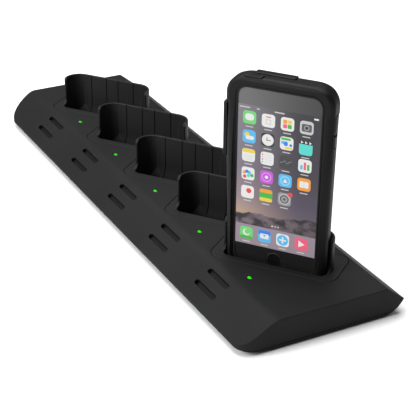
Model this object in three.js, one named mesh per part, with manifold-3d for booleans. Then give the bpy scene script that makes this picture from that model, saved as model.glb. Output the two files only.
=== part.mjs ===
// Five-bay charging dock with one handset standing in the end bay.
// Millimetres, +Z up, +X along the row of bays, -Y to the front. The origin is under the middle of the dock,
// on the surface that it stands on.
import * as THREE from 'three';
import { mergeVertices } from 'three/addons/utils/BufferGeometryUtils.js';
import Module from 'manifold-3d';

// ---- driving dimensions -------------------------------------------------------------------------------------
const GAP = 0.3;                    // clearance left between neighbouring pieces

const LENGTH = 433.5;               // dock, end face to end face
const NOSE_Y = -63.9;               // front tip of the section
const REAR_Y = 63.9;                // rear tip of the section
const DECK_Z = 22.2;                // flat top
const UNDERSIDE_Z = 0.8;            // flat bottom, held clear of the table by the feet
const PARTING_Z = 3.4;               // cover above, tray below
const SHELL = 2.4;                  // wall of the cover and of the tray
const FAR_CORNER_R = 28;            // front corner at the -X end, in plan
const NEAR_CORNER_R = 12;           // front corner at the +X end, in plan

const BAYS = 5;
const PITCH = 73.33;
const FIRST_BAY_X = -148.4;
const BAY_Y = 7.5;
const BAY_TURN = THREE.MathUtils.degToRad(38);

const INSERT = { width: 93.5, depth: 40, corner: 8.5, plate: 2.4 };
const CRADLE = { half: 40, back: -10.6, front: 15.7, backR: 15, frontR: 7, wall: 2, top: 46.1, wallFront: 5.8 };
const FLOOR_Z = 10.4;               // bottom of each pocket
const CRADLE_BASE_Z = 8.3;
const RAMP = { top: 19, bottom: 12, reach: 3.7, half: 27, flare: 6 };
const GROOVE = { width: 1, depth: 0.6, places: [-20.5, -5.7, 5.7, 20.5] };

const VENT = { length: 27.8, width: 3.8, offset: 3.1, rows: [-42.8, -52.9] };
const LAMP = { dx: 15.9, y: -25.6, length: 3.9, width: 2.5 };
const SLOPE = THREE.MathUtils.degToRad(30.5);

const BOARD = { x: 200, front: -28.4, back: 36, bottom: 4.2, thick: 1.6 };
const CONTACT = { n: 4.5, width: 24, depth: 7, pins: 5, pinPitch: 3.5, pinR: 0.75, pinTop: 12.1 };
const CARRIAGE = { width: 18.4, depth: 2.4, bottom: 7.9, top: 9.1 };

const SCREW_X = { front: [-185.1, 34.9, 181.6], rear: [-185.1, -38.4, 181.6] };
const SCREW_Y = { front: -33.5, rear: 45 };
const FOOT = { x: [-165, 0, 165], y: [-30, 36], radius: 7, height: 1.6 };
const INLET = { y: 20, z: 12.8, width: 14, height: 10, length: 14.5 };

const SLED = { left: 39.1, right: 38.2, front: 13.3, back: -3, frontR: [7, 6], backR: [8, 9], bottom: 12.4, top: 138 };
const SLED_FOOT = { left: 35.6, right: 37.2 };   // the sleeve narrows towards its foot
const CAP = { left: 38.6, right: 37.8, front: 11.8, back: -5, frontR: [3.5, 3.5], backR: [7, 7], top: 156.3, cornerR: 13, edgeR: 4 };
const PHONE = { half: 33.55, bottom: 15.9, top: 154.1, corner: 9.5, back: 3.8, face: 10.9, glass: 0.8 };
const WINDOW = { half: 30.7, bottom: 18, top: 150.6, corner: 8 };
const HOME = { z: 24.3, radius: 5.8, thick: 1.5 };
const TOP_KEY = { u: -20, n: 7.2, width: 13, depth: 5, top: 157.1 };
const SIDE_KEY = { face: 38.05, n: 8, z: 120.4, depth: 4.6, height: 8.4, proud: 0.7 };
const TRIGGER = { outer: 40, inner: 37.4, front: 11, back: 4, bottom: 97, top: 136.5, travel: 0.9 };
const SCANNER = { u: -7.2, n: -0.4, width: 29, depth: 6, top: 157 };

// ---- solids -------------------------------------------------------------------------------------------------
const wasm = await Module();
wasm.setup();

function solidOf(geometry) {
  geometry.deleteAttribute('normal');
  geometry.deleteAttribute('uv');
  const merged = mergeVertices(geometry, 1e-4);
  const mesh = new wasm.Mesh({
    numProp: 3,
    vertProperties: Float32Array.from(merged.attributes.position.array),
    triVerts: Uint32Array.from(merged.index.array),
  });
  return new wasm.Manifold(mesh);
}

function geometryOf(solid) {
  const mesh = solid.getMesh();
  const geometry = new THREE.BufferGeometry();
  geometry.setAttribute('position', new THREE.BufferAttribute(Float32Array.from(mesh.vertProperties), 3));
  geometry.setIndex(new THREE.BufferAttribute(Uint32Array.from(mesh.triVerts), 1));
  geometry.computeVertexNormals();
  return geometry;
}

const minus = (solid, ...tools) => tools.reduce((left, tool) => left.subtract(tool), solid);
const plus = (solid, ...others) => others.reduce((left, other) => left.add(other), solid);

function box(lowX, highX, lowY, highY, lowZ, highZ) {
  const geometry = new THREE.BoxGeometry(highX - lowX, highY - lowY, highZ - lowZ);
  geometry.translate((lowX + highX) / 2, (lowY + highY) / 2, (lowZ + highZ) / 2);
  return solidOf(geometry);
}

function rod(x, y, lowZ, highZ, radius, sides = 16) {
  const geometry = new THREE.CylinderGeometry(radius, radius, highZ - lowZ, sides);
  geometry.rotateX(Math.PI / 2);
  geometry.translate(x, y, (lowZ + highZ) / 2);
  return solidOf(geometry);
}

// A plan outline raised from lowZ to highZ.
function raise(shape, lowZ, highZ, arcSteps = 3) {
  const geometry = new THREE.ExtrudeGeometry(shape, { depth: highZ - lowZ, bevelEnabled: false, curveSegments: arcSteps });
  geometry.translate(0, 0, lowZ);
  return solidOf(geometry);
}

// An outline drawn in (Y, Z) and drawn out along X.
function drawAlongX(shape, lowX, highX, arcSteps = 3) {
  const geometry = new THREE.ExtrudeGeometry(shape, { depth: highX - lowX, bevelEnabled: false, curveSegments: arcSteps });
  geometry.applyMatrix4(new THREE.Matrix4().set(0, 0, 1, lowX, 1, 0, 0, 0, 0, 1, 0, 0, 0, 0, 0, 1));
  return solidOf(geometry);
}

// An outline drawn in (X, Z) and drawn out along Y.
function drawAlongY(shape, lowY, highY, arcSteps = 3) {
  const geometry = new THREE.ExtrudeGeometry(shape, { depth: highY - lowY, bevelEnabled: false, curveSegments: arcSteps });
  geometry.applyMatrix4(new THREE.Matrix4().set(1, 0, 0, 0, 0, 0, -1, highY, 0, 1, 0, 0, 0, 0, 0, 1));
  return solidOf(geometry);
}

// A rectangle with a radius of its own at each corner, counter-clockwise from the low corner.
function roundedBox(lowX, highX, lowY, highY, [r1, r2, r3, r4]) {
  const shape = new THREE.Shape();
  const turn = (x, y, r, start) => (r > 0
    ? shape.absarc(x, y, r, start, start + Math.PI / 2, false)
    : shape.lineTo(x, y));
  shape.moveTo(lowX, lowY + r1);
  turn(lowX + r1, lowY + r1, r1, Math.PI);
  turn(highX - r2, lowY + r2, r2, 1.5 * Math.PI);
  turn(highX - r3, highY - r3, r3, 0);
  turn(lowX + r4, highY - r4, r4, 0.5 * Math.PI);
  return shape;
}

const slotOutline = (length, width) => roundedBox(-length / 2, length / 2, -width / 2, width / 2,
  Array(4).fill(width / 2 - 0.01));

// Each vertex of a closed counter-clockwise outline, moved inwards by a distance.
function inset(points, distance) {
  const count = points.length;
  return points.map((point, i) => {
    const before = point.clone().sub(points[(i + count - 1) % count]).normalize();
    const after = points[(i + 1) % count].clone().sub(point).normalize();
    const normalA = new THREE.Vector2(-before.y, before.x);
    const normalB = new THREE.Vector2(-after.y, after.x);
    const bisector = normalA.clone().add(normalB).normalize();
    return point.clone().addScaledVector(bisector, distance / bisector.dot(normalA));
  });
}

// ---- the dock's outside -------------------------------------------------------------------------------------
function arcPoints(centreY, centreZ, radius, startDeg, endDeg, steps) {
  return Array.from({ length: steps + 1 }, (_, i) => {
    const angle = THREE.MathUtils.degToRad(startDeg + (endDeg - startDeg) * i / steps);
    return new THREE.Vector2(centreY + radius * Math.cos(angle), centreZ + radius * Math.sin(angle));
  });
}

const SLOPE_FOOT_Y = -37.6;         // where the front slope would meet the deck
const SHOULDER_R = 16;              // between the front slope and the deck
const NOSE_R = 1.5;
const BELLY_R = 19.43;
const BELLY_Y = 46.8;

// The rear belly is one arc from the flat bottom up to the rear tip.
const rearBelly = (steps) => arcPoints(BELLY_Y, UNDERSIDE_Z + BELLY_R, BELLY_R, -90, -28.3, steps);
const frontBelly = [new THREE.Vector2(-51.5, 2), new THREE.Vector2(-40, UNDERSIDE_Z)];

// End view, counter-clockwise from the flat bottom: belly, rear tip, deck, front slope, nose, front belly.
function outerSection() {
  const rearShoulder = arcPoints(48.9, DECK_Z - 3, 3, 51, 90, 2);
  const shoulderY = SLOPE_FOOT_Y + SHOULDER_R * Math.tan(SLOPE / 2);
  const frontShoulder = arcPoints(shoulderY, DECK_Z - SHOULDER_R, SHOULDER_R, 90, 120.5, 5);
  const noseY = NOSE_Y + NOSE_R;
  const noseZ = DECK_Z + (noseY - SLOPE_FOOT_Y) * Math.tan(SLOPE) - NOSE_R / Math.cos(SLOPE);
  const nose = arcPoints(noseY, noseZ, NOSE_R, 120.5, 257, 5);
  return [...rearBelly(6), ...rearShoulder, ...frontShoulder, ...nose, ...frontBelly];
}

// The inner face is square-cornered, so it is set in from the corners that the outside is rounded from.
function innerSection(wall) {
  const corners = [new THREE.Vector2(50.6, DECK_Z), new THREE.Vector2(SLOPE_FOOT_Y, DECK_Z), new THREE.Vector2(-66.4, 5.2)];
  return inset([...rearBelly(6), ...corners, ...frontBelly], wall);
}

function dockBody(wall) {
  const end = LENGTH / 2 - wall;
  const section = new THREE.Shape(wall > 0 ? innerSection(wall) : outerSection());
  const corners = [FAR_CORNER_R, NEAR_CORNER_R].map((r) => r - wall);
  const plan = roundedBox(-end, end, NOSE_Y + wall, REAR_Y + 5, [...corners, 0, 0]);
  return drawAlongX(section, -end, end).intersect(raise(plan, -1, DECK_Z + 5, 4));
}

const bayX = (bay) => FIRST_BAY_X + bay * PITCH;
const inBay = (solid, bay) => solid.rotate([0, 0, THREE.MathUtils.radToDeg(BAY_TURN)]).translate([bayX(bay), BAY_Y, 0]);
const allBays = Array.from({ length: BAYS }, (_, bay) => bay);
const screwPlaces = ['front', 'rear'].flatMap((side) => SCREW_X[side].map((x) => [x, SCREW_Y[side]]));
const footPlaces = FOOT.y.flatMap((y) => FOOT.x.map((x) => [x, y]));

// In a bay, X runs to the handset's right and -Y to its front, so a distance n to the front is -Y.
const insertOutline = (grow) => roundedBox(-INSERT.width / 2 - grow, INSERT.width / 2 + grow,
  -INSERT.depth / 2 - grow, INSERT.depth / 2 + grow, Array(4).fill(INSERT.corner + grow));

function ventTool(bay, rowY) {
  const slopeZ = DECK_Z + (rowY - SLOPE_FOOT_Y) * Math.tan(SLOPE);
  const tool = raise(slotOutline(VENT.length, VENT.width), -6, 6, 2);
  return tool.rotate([THREE.MathUtils.radToDeg(SLOPE), 0, 0]).translate([bayX(bay) + VENT.offset, rowY, slopeZ]);
}

function lampSolid(bay, grow, lowZ, highZ) {
  const outline = slotOutline(LAMP.length + 2 * grow, LAMP.width + 2 * grow);
  return raise(outline, lowZ, highZ, 1).translate([bayX(bay) + LAMP.dx, LAMP.y, 0]);
}

function topCover() {
  const above = box(-LENGTH, LENGTH, -100, 100, PARTING_Z + GAP / 2, 60);
  let cover = dockBody(0).subtract(dockBody(SHELL)).intersect(above);
  for (const [x, y] of screwPlaces) cover = plus(cover, rod(x, y, 6.3, DECK_Z - 1.2, 3.2, 8));
  for (const [x, y] of screwPlaces) cover = minus(cover, rod(x, y, 5, 16, 1.8, 8));
  for (const bay of allBays) {
    const opening = inBay(raise(insertOutline(0), 15, 30, 2), bay);
    const vents = VENT.rows.map((rowY) => ventTool(bay, rowY));
    cover = minus(cover, opening, ...vents, lampSolid(bay, GAP, 15, 30));
  }
  const { y, z, width, height } = INLET;
  const inletHole = box(-LENGTH, -LENGTH / 2 + 5, y - width / 2 - GAP, y + width / 2 + GAP,
    z - height / 2 - GAP, z + height / 2 + GAP);
  return minus(cover, inletHole);
}

function baseTray() {
  const below = box(-LENGTH, LENGTH, -100, 100, -5, PARTING_Z - GAP / 2);
  let tray = dockBody(0).subtract(dockBody(SHELL - 0.2)).intersect(below);
  for (const [x, y] of screwPlaces) tray = plus(tray, rod(x, y, 1.4, 6, 4.2, 10));
  for (const [x, y] of screwPlaces) {
    tray = minus(tray, rod(x, y, -1, 7, 1.8, 8), rod(x, y, -1, 3.2, 3.4, 10));
  }
  for (const [x, y] of footPlaces) tray = minus(tray, rod(x, y, -1, FOOT.height + GAP, FOOT.radius + GAP, 16));
  for (const x of [-190, -112, -20, 72, 190]) {
    for (const y of [-20, 30]) tray = plus(tray, rod(x, y, 2, BOARD.bottom - GAP, 2.5, 8));
  }
  return tray;
}

// ---- one bay ------------------------------------------------------------------------------------------------
function cradleOutline(inwards) {
  const { half, back, front, backR, frontR } = CRADLE;
  const radii = [frontR, frontR, backR, backR].map((r) => r - inwards);
  return roundedBox(-half + inwards, half - inwards, -front + inwards, -back - inwards, radii);
}

// What is cut away in front of the side walls: square to the deck, with a foot fillet and a rounded top corner.
function wallFrontTool() {
  const face = -CRADLE.wallFront;
  const radius = 4;
  const shape = new THREE.Shape();
  shape.moveTo(-30, CRADLE.top + 5);
  shape.lineTo(-30, DECK_Z);
  shape.absarc(face - radius, DECK_Z + radius, radius, 1.5 * Math.PI, 2 * Math.PI, false);
  shape.lineTo(face, CRADLE.top - radius);
  shape.absarc(face + radius, CRADLE.top - radius, radius, Math.PI, 0.5 * Math.PI, true);
  shape.lineTo(face + radius, CRADLE.top + 5);
  return drawAlongX(shape, -60, 60, 2);
}

function ramp() {
  const back = -CRADLE.back - CRADLE.wall;
  const side = new THREE.Shape();
  side.moveTo(back + 1, FLOOR_Z - 1);
  side.lineTo(back + 1, RAMP.top);
  side.lineTo(back, RAMP.top);
  side.lineTo(back - RAMP.reach, RAMP.bottom);
  side.lineTo(back - RAMP.reach, FLOOR_Z - 1);
  const face = new THREE.Shape();
  face.moveTo(-RAMP.half - RAMP.flare, FLOOR_Z - 1);
  face.lineTo(RAMP.half + RAMP.flare, FLOOR_Z - 1);
  face.lineTo(RAMP.half + RAMP.flare, RAMP.bottom);
  face.lineTo(RAMP.half, RAMP.top);
  face.lineTo(-RAMP.half, RAMP.top);
  face.lineTo(-RAMP.half - RAMP.flare, RAMP.bottom);
  return drawAlongX(side, -40, 40).intersect(drawAlongY(face, back - 10, back + 2));
}

function bayInsert() {
  const plate = raise(insertOutline(-GAP), DECK_Z - INSERT.plate, DECK_Z, 2);
  const rail = box(-40, 40, -INSERT.depth / 2 - 1.5, INSERT.depth / 2 + 1.5, 17.7, DECK_Z - INSERT.plate - GAP);
  const joinRail = raise(insertOutline(-GAP - 1), DECK_Z - INSERT.plate - GAP - 0.1, DECK_Z - INSERT.plate + 0.1, 2);
  const tub = raise(cradleOutline(0), CRADLE_BASE_Z, CRADLE.top, 3).subtract(wallFrontTool());
  const pocket = raise(cradleOutline(CRADLE.wall), FLOOR_Z, CRADLE.top + 5, 3);
  const back = -CRADLE.back - CRADLE.wall;
  const grooves = GROOVE.places.map((u) => box(u - GROOVE.width / 2, u + GROOVE.width / 2,
    back - 1, back + GROOVE.depth, RAMP.top - 1, CRADLE.top + 1));
  const reach = CONTACT.width / 2 + GAP;
  const contactSlot = box(-reach, reach, -CONTACT.n - CONTACT.depth / 2 - GAP, -CONTACT.n + CONTACT.depth / 2 + GAP,
    CRADLE_BASE_Z - 1, FLOOR_Z + 1);
  return minus(plus(minus(plus(plate, rail, joinRail, tub), pocket), ramp()), contactSlot, ...grooves);
}

const pinPlaces = Array.from({ length: CONTACT.pins }, (_, i) => (i - (CONTACT.pins - 1) / 2) * CONTACT.pinPitch);

function contactBlock() {
  const { n, width, depth } = CONTACT;
  const base = BOARD.bottom + BOARD.thick + GAP;
  const body = box(-width / 2, width / 2, -n - depth / 2, -n + depth / 2, base, FLOOR_Z);
  const slideWay = box(-CARRIAGE.width / 2 - GAP, CARRIAGE.width / 2 + GAP,
    -n - CARRIAGE.depth / 2 - GAP, -n + CARRIAGE.depth / 2 + GAP, base - 1, CARRIAGE.top + GAP);
  const pinSlot = box(pinPlaces[0] - 1.1, pinPlaces.at(-1) + 1.1, -n - 1.1, -n + 1.1, base, FLOOR_Z + 1);
  return minus(body, slideWay, pinSlot);
}

function contactPlunger() {
  const { n, pinR, pinTop } = CONTACT;
  const carriage = box(-CARRIAGE.width / 2, CARRIAGE.width / 2, -n - CARRIAGE.depth / 2, -n + CARRIAGE.depth / 2,
    CARRIAGE.bottom, CARRIAGE.top);
  return plus(carriage, ...pinPlaces.map((u) => rod(u, -n, CARRIAGE.bottom + 0.5, pinTop, pinR, 8)));
}

// A bowed strip of spring steel, its feet on the board and its crown just under the carriage.
function contactSpring() {
  const low = BOARD.bottom + BOARD.thick + GAP;
  const rise = CARRIAGE.bottom - GAP - low;
  const strip = 0.25;
  const steps = 10;
  const bow = (lift) => Array.from({ length: steps + 1 }, (_, i) => {
    const along = -1 + 2 * i / steps;
    return new THREE.Vector2(along * 8, low + lift + (rise - strip) * (1 - along * along));
  });
  const shape = new THREE.Shape([...bow(0), ...bow(strip).reverse()]);
  return drawAlongY(shape, -CONTACT.n - 0.9, -CONTACT.n + 0.9);
}

function statusLed(bay) {
  const [x, y, base] = [bayX(bay) + LAMP.dx, LAMP.y, BOARD.bottom + BOARD.thick + GAP];
  return box(x - 1.6, x + 1.6, y - 0.9, y + 0.9, base, base + 1.4);
}

// ---- the dock's inside and underside ------------------------------------------------------------------------
function mainBoard() {
  return box(-BOARD.x, BOARD.x, BOARD.front, BOARD.back, BOARD.bottom, BOARD.bottom + BOARD.thick);
}

function powerInlet() {
  const { y, z, width, height, length } = INLET;
  const faceX = -LENGTH / 2 + 0.2;
  const body = box(faceX, faceX + length, y - width / 2, y + width / 2, z - height / 2, z + height / 2);
  const alongX = (solid) => solid.rotate([0, 90, 0]).translate([faceX, y, z]);
  return plus(minus(body, alongX(rod(0, 0, -1, 11, 3.2, 20))), alongX(rod(0, 0, 0.8, 12, 1.1, 10)));
}

const baseScrew = ([x, y]) => plus(rod(x, y, 1.1, 2.9, 3, 10), rod(x, y, 2.8, 14, 1.4, 8));
const foot = ([x, y]) => rod(x, y, 0, FOOT.height, FOOT.radius, 16);

// ---- the handset, drawn in its bay --------------------------------------------------------------------------
const handsetPlan = ({ left, right, front, back, frontR, backR }) => roundedBox(-left, right, -front, -back,
  [...frontR, ...backR]);

function phoneOutline(grow, top = PHONE.top + grow) {
  return roundedBox(-PHONE.half - grow, PHONE.half + grow, PHONE.bottom - grow, top, Array(4).fill(PHONE.corner + grow));
}

function phoneCavity() {
  return drawAlongY(phoneOutline(GAP), -PHONE.face - GAP, -PHONE.back + GAP);
}

function windowTool() {
  const { half, bottom, top, corner } = WINDOW;
  return drawAlongY(roundedBox(-half, half, bottom, top, Array(4).fill(corner)), -SLED.front - 2, -PHONE.face);
}

function sideKeyTool() {
  const { face, n, z, depth, height } = SIDE_KEY;
  return box(face - 2.1, face + 2, -n - depth / 2 - GAP, -n + depth / 2 + GAP,
    z - height / 2 - GAP, z + height / 2 + GAP);
}

function triggerTool() {
  const { inner, front, back, bottom, top, travel } = TRIGGER;
  return box(-50, -inner + travel + GAP, -front - GAP, -back + GAP, bottom - GAP, top + GAP);
}

function sledSleeve() {
  const taper = new THREE.Shape();
  taper.moveTo(-SLED_FOOT.left, SLED.bottom);
  taper.lineTo(SLED_FOOT.right, SLED.bottom);
  taper.lineTo(SLED.right, SLED.top);
  taper.lineTo(-SLED.left, SLED.top);
  const straight = raise(handsetPlan(SLED), SLED.bottom, SLED.top - GAP / 2, 3);
  const body = straight.intersect(drawAlongY(taper, -20, 20));
  const batteryBay = box(-25, 25, -PHONE.back, 1.2, 34, 112);
  return minus(body, phoneCavity(), windowTool(), batteryBay, sideKeyTool(), triggerTool());
}

function sledCap() {
  const body = raise(handsetPlan(CAP), SLED.top + GAP / 2, CAP.top, 3);
  const face = roundedBox(-CAP.left, CAP.right, 100, CAP.top, [0, 0, CAP.cornerR, CAP.cornerR]);
  const side = roundedBox(-CAP.front, -CAP.back, 100, CAP.top, [0, 0, CAP.edgeR, CAP.edgeR]);
  const { u, n, width, depth } = TOP_KEY;
  const keyPocket = box(u - width / 2 - GAP, u + width / 2 + GAP, -n - depth / 2 - GAP, -n + depth / 2 + GAP,
    CAP.top - 1.2, CAP.top + 4);
  const windowSeat = box(SCANNER.u - SCANNER.width / 2 - GAP, SCANNER.u + SCANNER.width / 2 + GAP,
    -SCANNER.n - SCANNER.depth / 2 - GAP, -SCANNER.n + SCANNER.depth / 2 + GAP, CAP.top - 1.3, CAP.top + 4);
  const shell = body.intersect(drawAlongY(face, -20, 20, 4)).intersect(drawAlongX(side, -50, 50, 2));
  return minus(shell, phoneCavity(), windowTool(), keyPocket, windowSeat);
}

const homeHole = (radius, deep) => {
  const tool = rod(0, 0, -deep, 5, radius, 24);
  return tool.rotate([90, 0, 0]).translate([0, -PHONE.face, HOME.z]);
};

function phoneDisplay() {
  const pane = drawAlongY(phoneOutline(-0.2), -PHONE.face, -PHONE.face + PHONE.glass);
  return minus(pane, homeHole(HOME.radius + GAP, 2));
}

function phoneBody() {
  const body = drawAlongY(phoneOutline(0), -PHONE.face + PHONE.glass + GAP, -PHONE.back);
  return minus(body, homeHole(HOME.radius + GAP, HOME.thick + 0.5));
}

const homeButton = () => homeHole(HOME.radius, HOME.thick).intersect(box(-20, 20, -PHONE.face + 0.1, 20, 0, 60));

function topKey() {
  const { u, n, width, depth, top } = TOP_KEY;
  return raise(roundedBox(u - width / 2, u + width / 2, -n - depth / 2, -n + depth / 2, Array(4).fill(1.2)),
    top - 1.3, top, 2);
}

function sideKey() {
  const { face, n, z, depth, height, proud } = SIDE_KEY;
  return box(face - 1, face + proud, -n - depth / 2, -n + depth / 2, z - height / 2, z + height / 2);
}

function triggerKey() {
  const { outer, inner, front, back, bottom, top } = TRIGGER;
  return drawAlongX(roundedBox(-front, -back, bottom, top, Array(4).fill(1.5)), -outer, -inner, 2);
}

function scannerWindow() {
  const { u, n, width, depth, top } = SCANNER;
  return raise(roundedBox(u - width / 2, u + width / 2, -n - depth / 2, -n + depth / 2, Array(4).fill(1)),
    CAP.top - 1, top, 2);
}

const handsetBattery = () => box(-24.7, 24.7, -PHONE.back + GAP, 0.9, 34.3, 111.7);

// ---- assembly -----------------------------------------------------------------------------------------------
const finish = (color, roughness, metalness = 0) => new THREE.MeshStandardMaterial({ color, roughness, metalness });
const CHARCOAL = finish(0x2b2c2e, 0.6);
const DARK = finish(0x1f2022, 0.6);
const BLACK_GLASS = finish(0x08080a, 0.1);
const SLATE = finish(0x36373a, 0.35);
const GOLD = finish(0xc8a04a, 0.3, 1);
const STEEL = finish(0x9a9c9f, 0.35, 1);
const RUBBER = finish(0x151515, 0.9);
const BOARD_GREEN = finish(0x1d5a38, 0.5);
const LAMP_GREEN = finish(0x2fe05a, 0.3);
const NYLON = finish(0x121214, 0.5);
const ALLOY = finish(0x8d9095, 0.3, 1);

const dock = new THREE.Group();
const handset = new THREE.Group();
handset.position.set(bayX(BAYS - 1), BAY_Y, 0);
handset.rotation.z = BAY_TURN;
dock.add(handset);

function place(name, solid, material, parent = dock) {
  const mesh = new THREE.Mesh(geometryOf(solid), material);
  mesh.name = name;
  parent.add(mesh);
  return mesh;
}

function placeInBay(name, solid, material, bay) {
  const mesh = place(name, solid, material);
  mesh.position.set(bayX(bay), BAY_Y, 0);
  mesh.rotation.z = BAY_TURN;
}

place('top_cover', topCover(), CHARCOAL);
place('base_tray', baseTray(), DARK);
place('main_board', mainBoard(), BOARD_GREEN);
place('power_inlet', powerInlet(), NYLON);
for (const bay of allBays) {
  const number = bay + 1;
  placeInBay(`bay_insert_${number}`, bayInsert(), CHARCOAL, bay);
  placeInBay(`contact_block_${number}`, contactBlock(), NYLON, bay);
  placeInBay(`contact_plunger_${number}`, contactPlunger(), GOLD, bay);
  placeInBay(`contact_spring_${number}`, contactSpring(), STEEL, bay);
  place(`light_pipe_${number}`, lampSolid(bay, 0, 8.2, DECK_Z), LAMP_GREEN);
  place(`status_led_${number}`, statusLed(bay), LAMP_GREEN);
}
screwPlaces.forEach((spot, i) => place(`base_screw_${i + 1}`, baseScrew(spot), STEEL));
footPlaces.forEach((spot, i) => place(`foot_${i + 1}`, foot(spot), RUBBER));

place('sled_sleeve', sledSleeve(), SLATE, handset);
place('sled_cap', sledCap(), SLATE, handset);
place('phone_body', phoneBody(), ALLOY, handset);
place('phone_display', phoneDisplay(), BLACK_GLASS, handset);
place('home_button', homeButton(), BLACK_GLASS, handset);
place('top_key', topKey(), SLATE, handset);
place('side_key', sideKey(), SLATE, handset);
place('trigger_key', triggerKey(), SLATE, handset);
place('scanner_window', scannerWindow(), BLACK_GLASS, handset);
place('handset_battery', handsetBattery(), ALLOY, handset);

export default dock;
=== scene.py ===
# %% [markdown]
# # A five-bay charging dock with a handset in its end bay
# The object is a long, low wedge of charcoal moulded plastic. Five pockets are let into its deck, all turned
# the same way, and a sleeved handset stands in the last one with its screen lit.
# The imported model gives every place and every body, so this lesson only makes the surfaces finer:
# rounded edges, real openings, small hardware, and a finish for each material.

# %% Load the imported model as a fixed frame
import math
import random
from bisect import bisect_left

import bmesh
import bpy
from mathutils import Matrix, Vector


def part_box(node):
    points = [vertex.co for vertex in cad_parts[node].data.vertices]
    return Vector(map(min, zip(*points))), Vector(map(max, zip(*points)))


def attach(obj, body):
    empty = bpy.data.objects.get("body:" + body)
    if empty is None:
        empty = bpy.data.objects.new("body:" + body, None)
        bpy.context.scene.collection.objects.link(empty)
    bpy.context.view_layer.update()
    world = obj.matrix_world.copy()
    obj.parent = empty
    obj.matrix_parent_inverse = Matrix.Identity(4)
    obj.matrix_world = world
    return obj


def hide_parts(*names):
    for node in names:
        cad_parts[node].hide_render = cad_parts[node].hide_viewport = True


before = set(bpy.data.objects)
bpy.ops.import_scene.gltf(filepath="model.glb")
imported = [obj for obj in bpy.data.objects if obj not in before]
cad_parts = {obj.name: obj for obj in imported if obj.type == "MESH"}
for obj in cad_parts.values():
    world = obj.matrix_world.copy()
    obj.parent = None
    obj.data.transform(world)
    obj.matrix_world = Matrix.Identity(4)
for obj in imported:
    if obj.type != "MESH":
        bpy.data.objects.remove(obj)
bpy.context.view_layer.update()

# %% [markdown]
# ## Where things are
# The pieces are drawn in millimetres, because the sizes are then easy to read, and scaled to metres at the end.
# Each bay has a grid of its own: u runs to the handset's right, n towards the person who looks at its screen,
# and z up. The middle of a bay is the middle of its insert, which the frame gives.

# %% Driving values
MM = 0.001
BAYS = 5
TURN = math.radians(38)


def middle(node):
    low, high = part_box(node)
    return [(a + b) / 2 / MM for a, b in zip(low, high)]


bay_middles = [middle(f"bay_insert_{bay + 1}")[:2] for bay in range(BAYS)]
PITCH = (bay_middles[4][0] - bay_middles[0][0]) / 4
cover_low, cover_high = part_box("top_cover")
HALF_LENGTH, DECK_Z = cover_high[0] / MM, cover_high[2] / MM
NOSE_Y = min(cover_low[1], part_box("base_tray")[0][1]) / MM
PARTING_Z = 3.4
GAP = 0.3


def in_bay(bay):
    """The matrix that carries a bay's own grid to its place in the dock."""
    x, y = bay_middles[bay]
    return Matrix.Translation((x, y, 0)) @ Matrix.Rotation(TURN, 4, "Z")


print("pitch of the bays:", round(PITCH, 2), "deck height:", round(DECK_Z, 2))

# %% [markdown]
# ## Camera
# A long lens from high on the right, so that the row of bays runs away to the left and the verticals stay
# nearly upright. The camera is placed by its three angles and its position.

# %% Place the camera
azimuth, dip, roll = (math.radians(angle) for angle in (61.6685, 27.56141, 0.75201))
forward = Vector((-math.sin(azimuth) * math.cos(dip), math.cos(azimuth) * math.cos(dip), -math.sin(dip)))
level_right = Vector((math.cos(azimuth), math.sin(azimuth), 0))
level_up = level_right.cross(forward)
right = level_right * math.cos(roll) + level_up * math.sin(roll)
up = level_up * math.cos(roll) - level_right * math.sin(roll)
camera = bpy.data.objects.new("Camera", bpy.data.cameras.new("Camera"))
camera.data.lens, camera.data.sensor_width = 111.469, 36
camera.data.clip_start, camera.data.clip_end = 0.05, 30
camera.matrix_world = (Matrix.Translation((0.818337, -0.411215, 0.470828))
                       @ Matrix((right, up, -forward)).transposed().to_4x4())
bpy.context.scene.collection.objects.link(camera)
bpy.context.scene.camera = camera
print("camera looks along", [round(v, 3) for v in forward])

# %% [markdown]
# ## Shader arithmetic
# A procedural finish is mostly sums of noise. A socket in a small wrapper can be added and multiplied like a
# number, and each sum leaves a Math node behind. Every other node comes from one method that sets the node's
# options first and then feeds its sockets.

# %% A socket that does arithmetic, and a finish that holds nodes


class Wire:
    """One output socket of a finish, usable in arithmetic."""

    def __init__(self, finish, socket):
        self.finish, self.socket = finish, socket

    def _math(self, operation, first, second):
        return self.finish.node("ShaderNodeMath", {"operation": operation}, {0: first, 1: second})

    def __add__(self, other): return self._math("ADD", self, other)
    def __radd__(self, other): return self._math("ADD", other, self)
    def __sub__(self, other): return self._math("SUBTRACT", self, other)
    def __rsub__(self, other): return self._math("SUBTRACT", other, self)
    def __mul__(self, other): return self._math("MULTIPLY", self, other)
    def __rmul__(self, other): return self._math("MULTIPLY", other, self)
    def __gt__(self, other): return self._math("GREATER_THAN", self, other)
    def __lt__(self, other): return self._math("LESS_THAN", self, other)

    def over(self, low, high, to_low=0.0, to_high=1.0):
        """This value carried from low..high to to_low..to_high, smoothly and without overshoot."""
        return self.finish.node("ShaderNodeMapRange", {"interpolation_type": "SMOOTHSTEP", "clamp": True},
                                {"Value": self, "From Min": low, "From Max": high,
                                 "To Min": to_low, "To Max": to_high})


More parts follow.
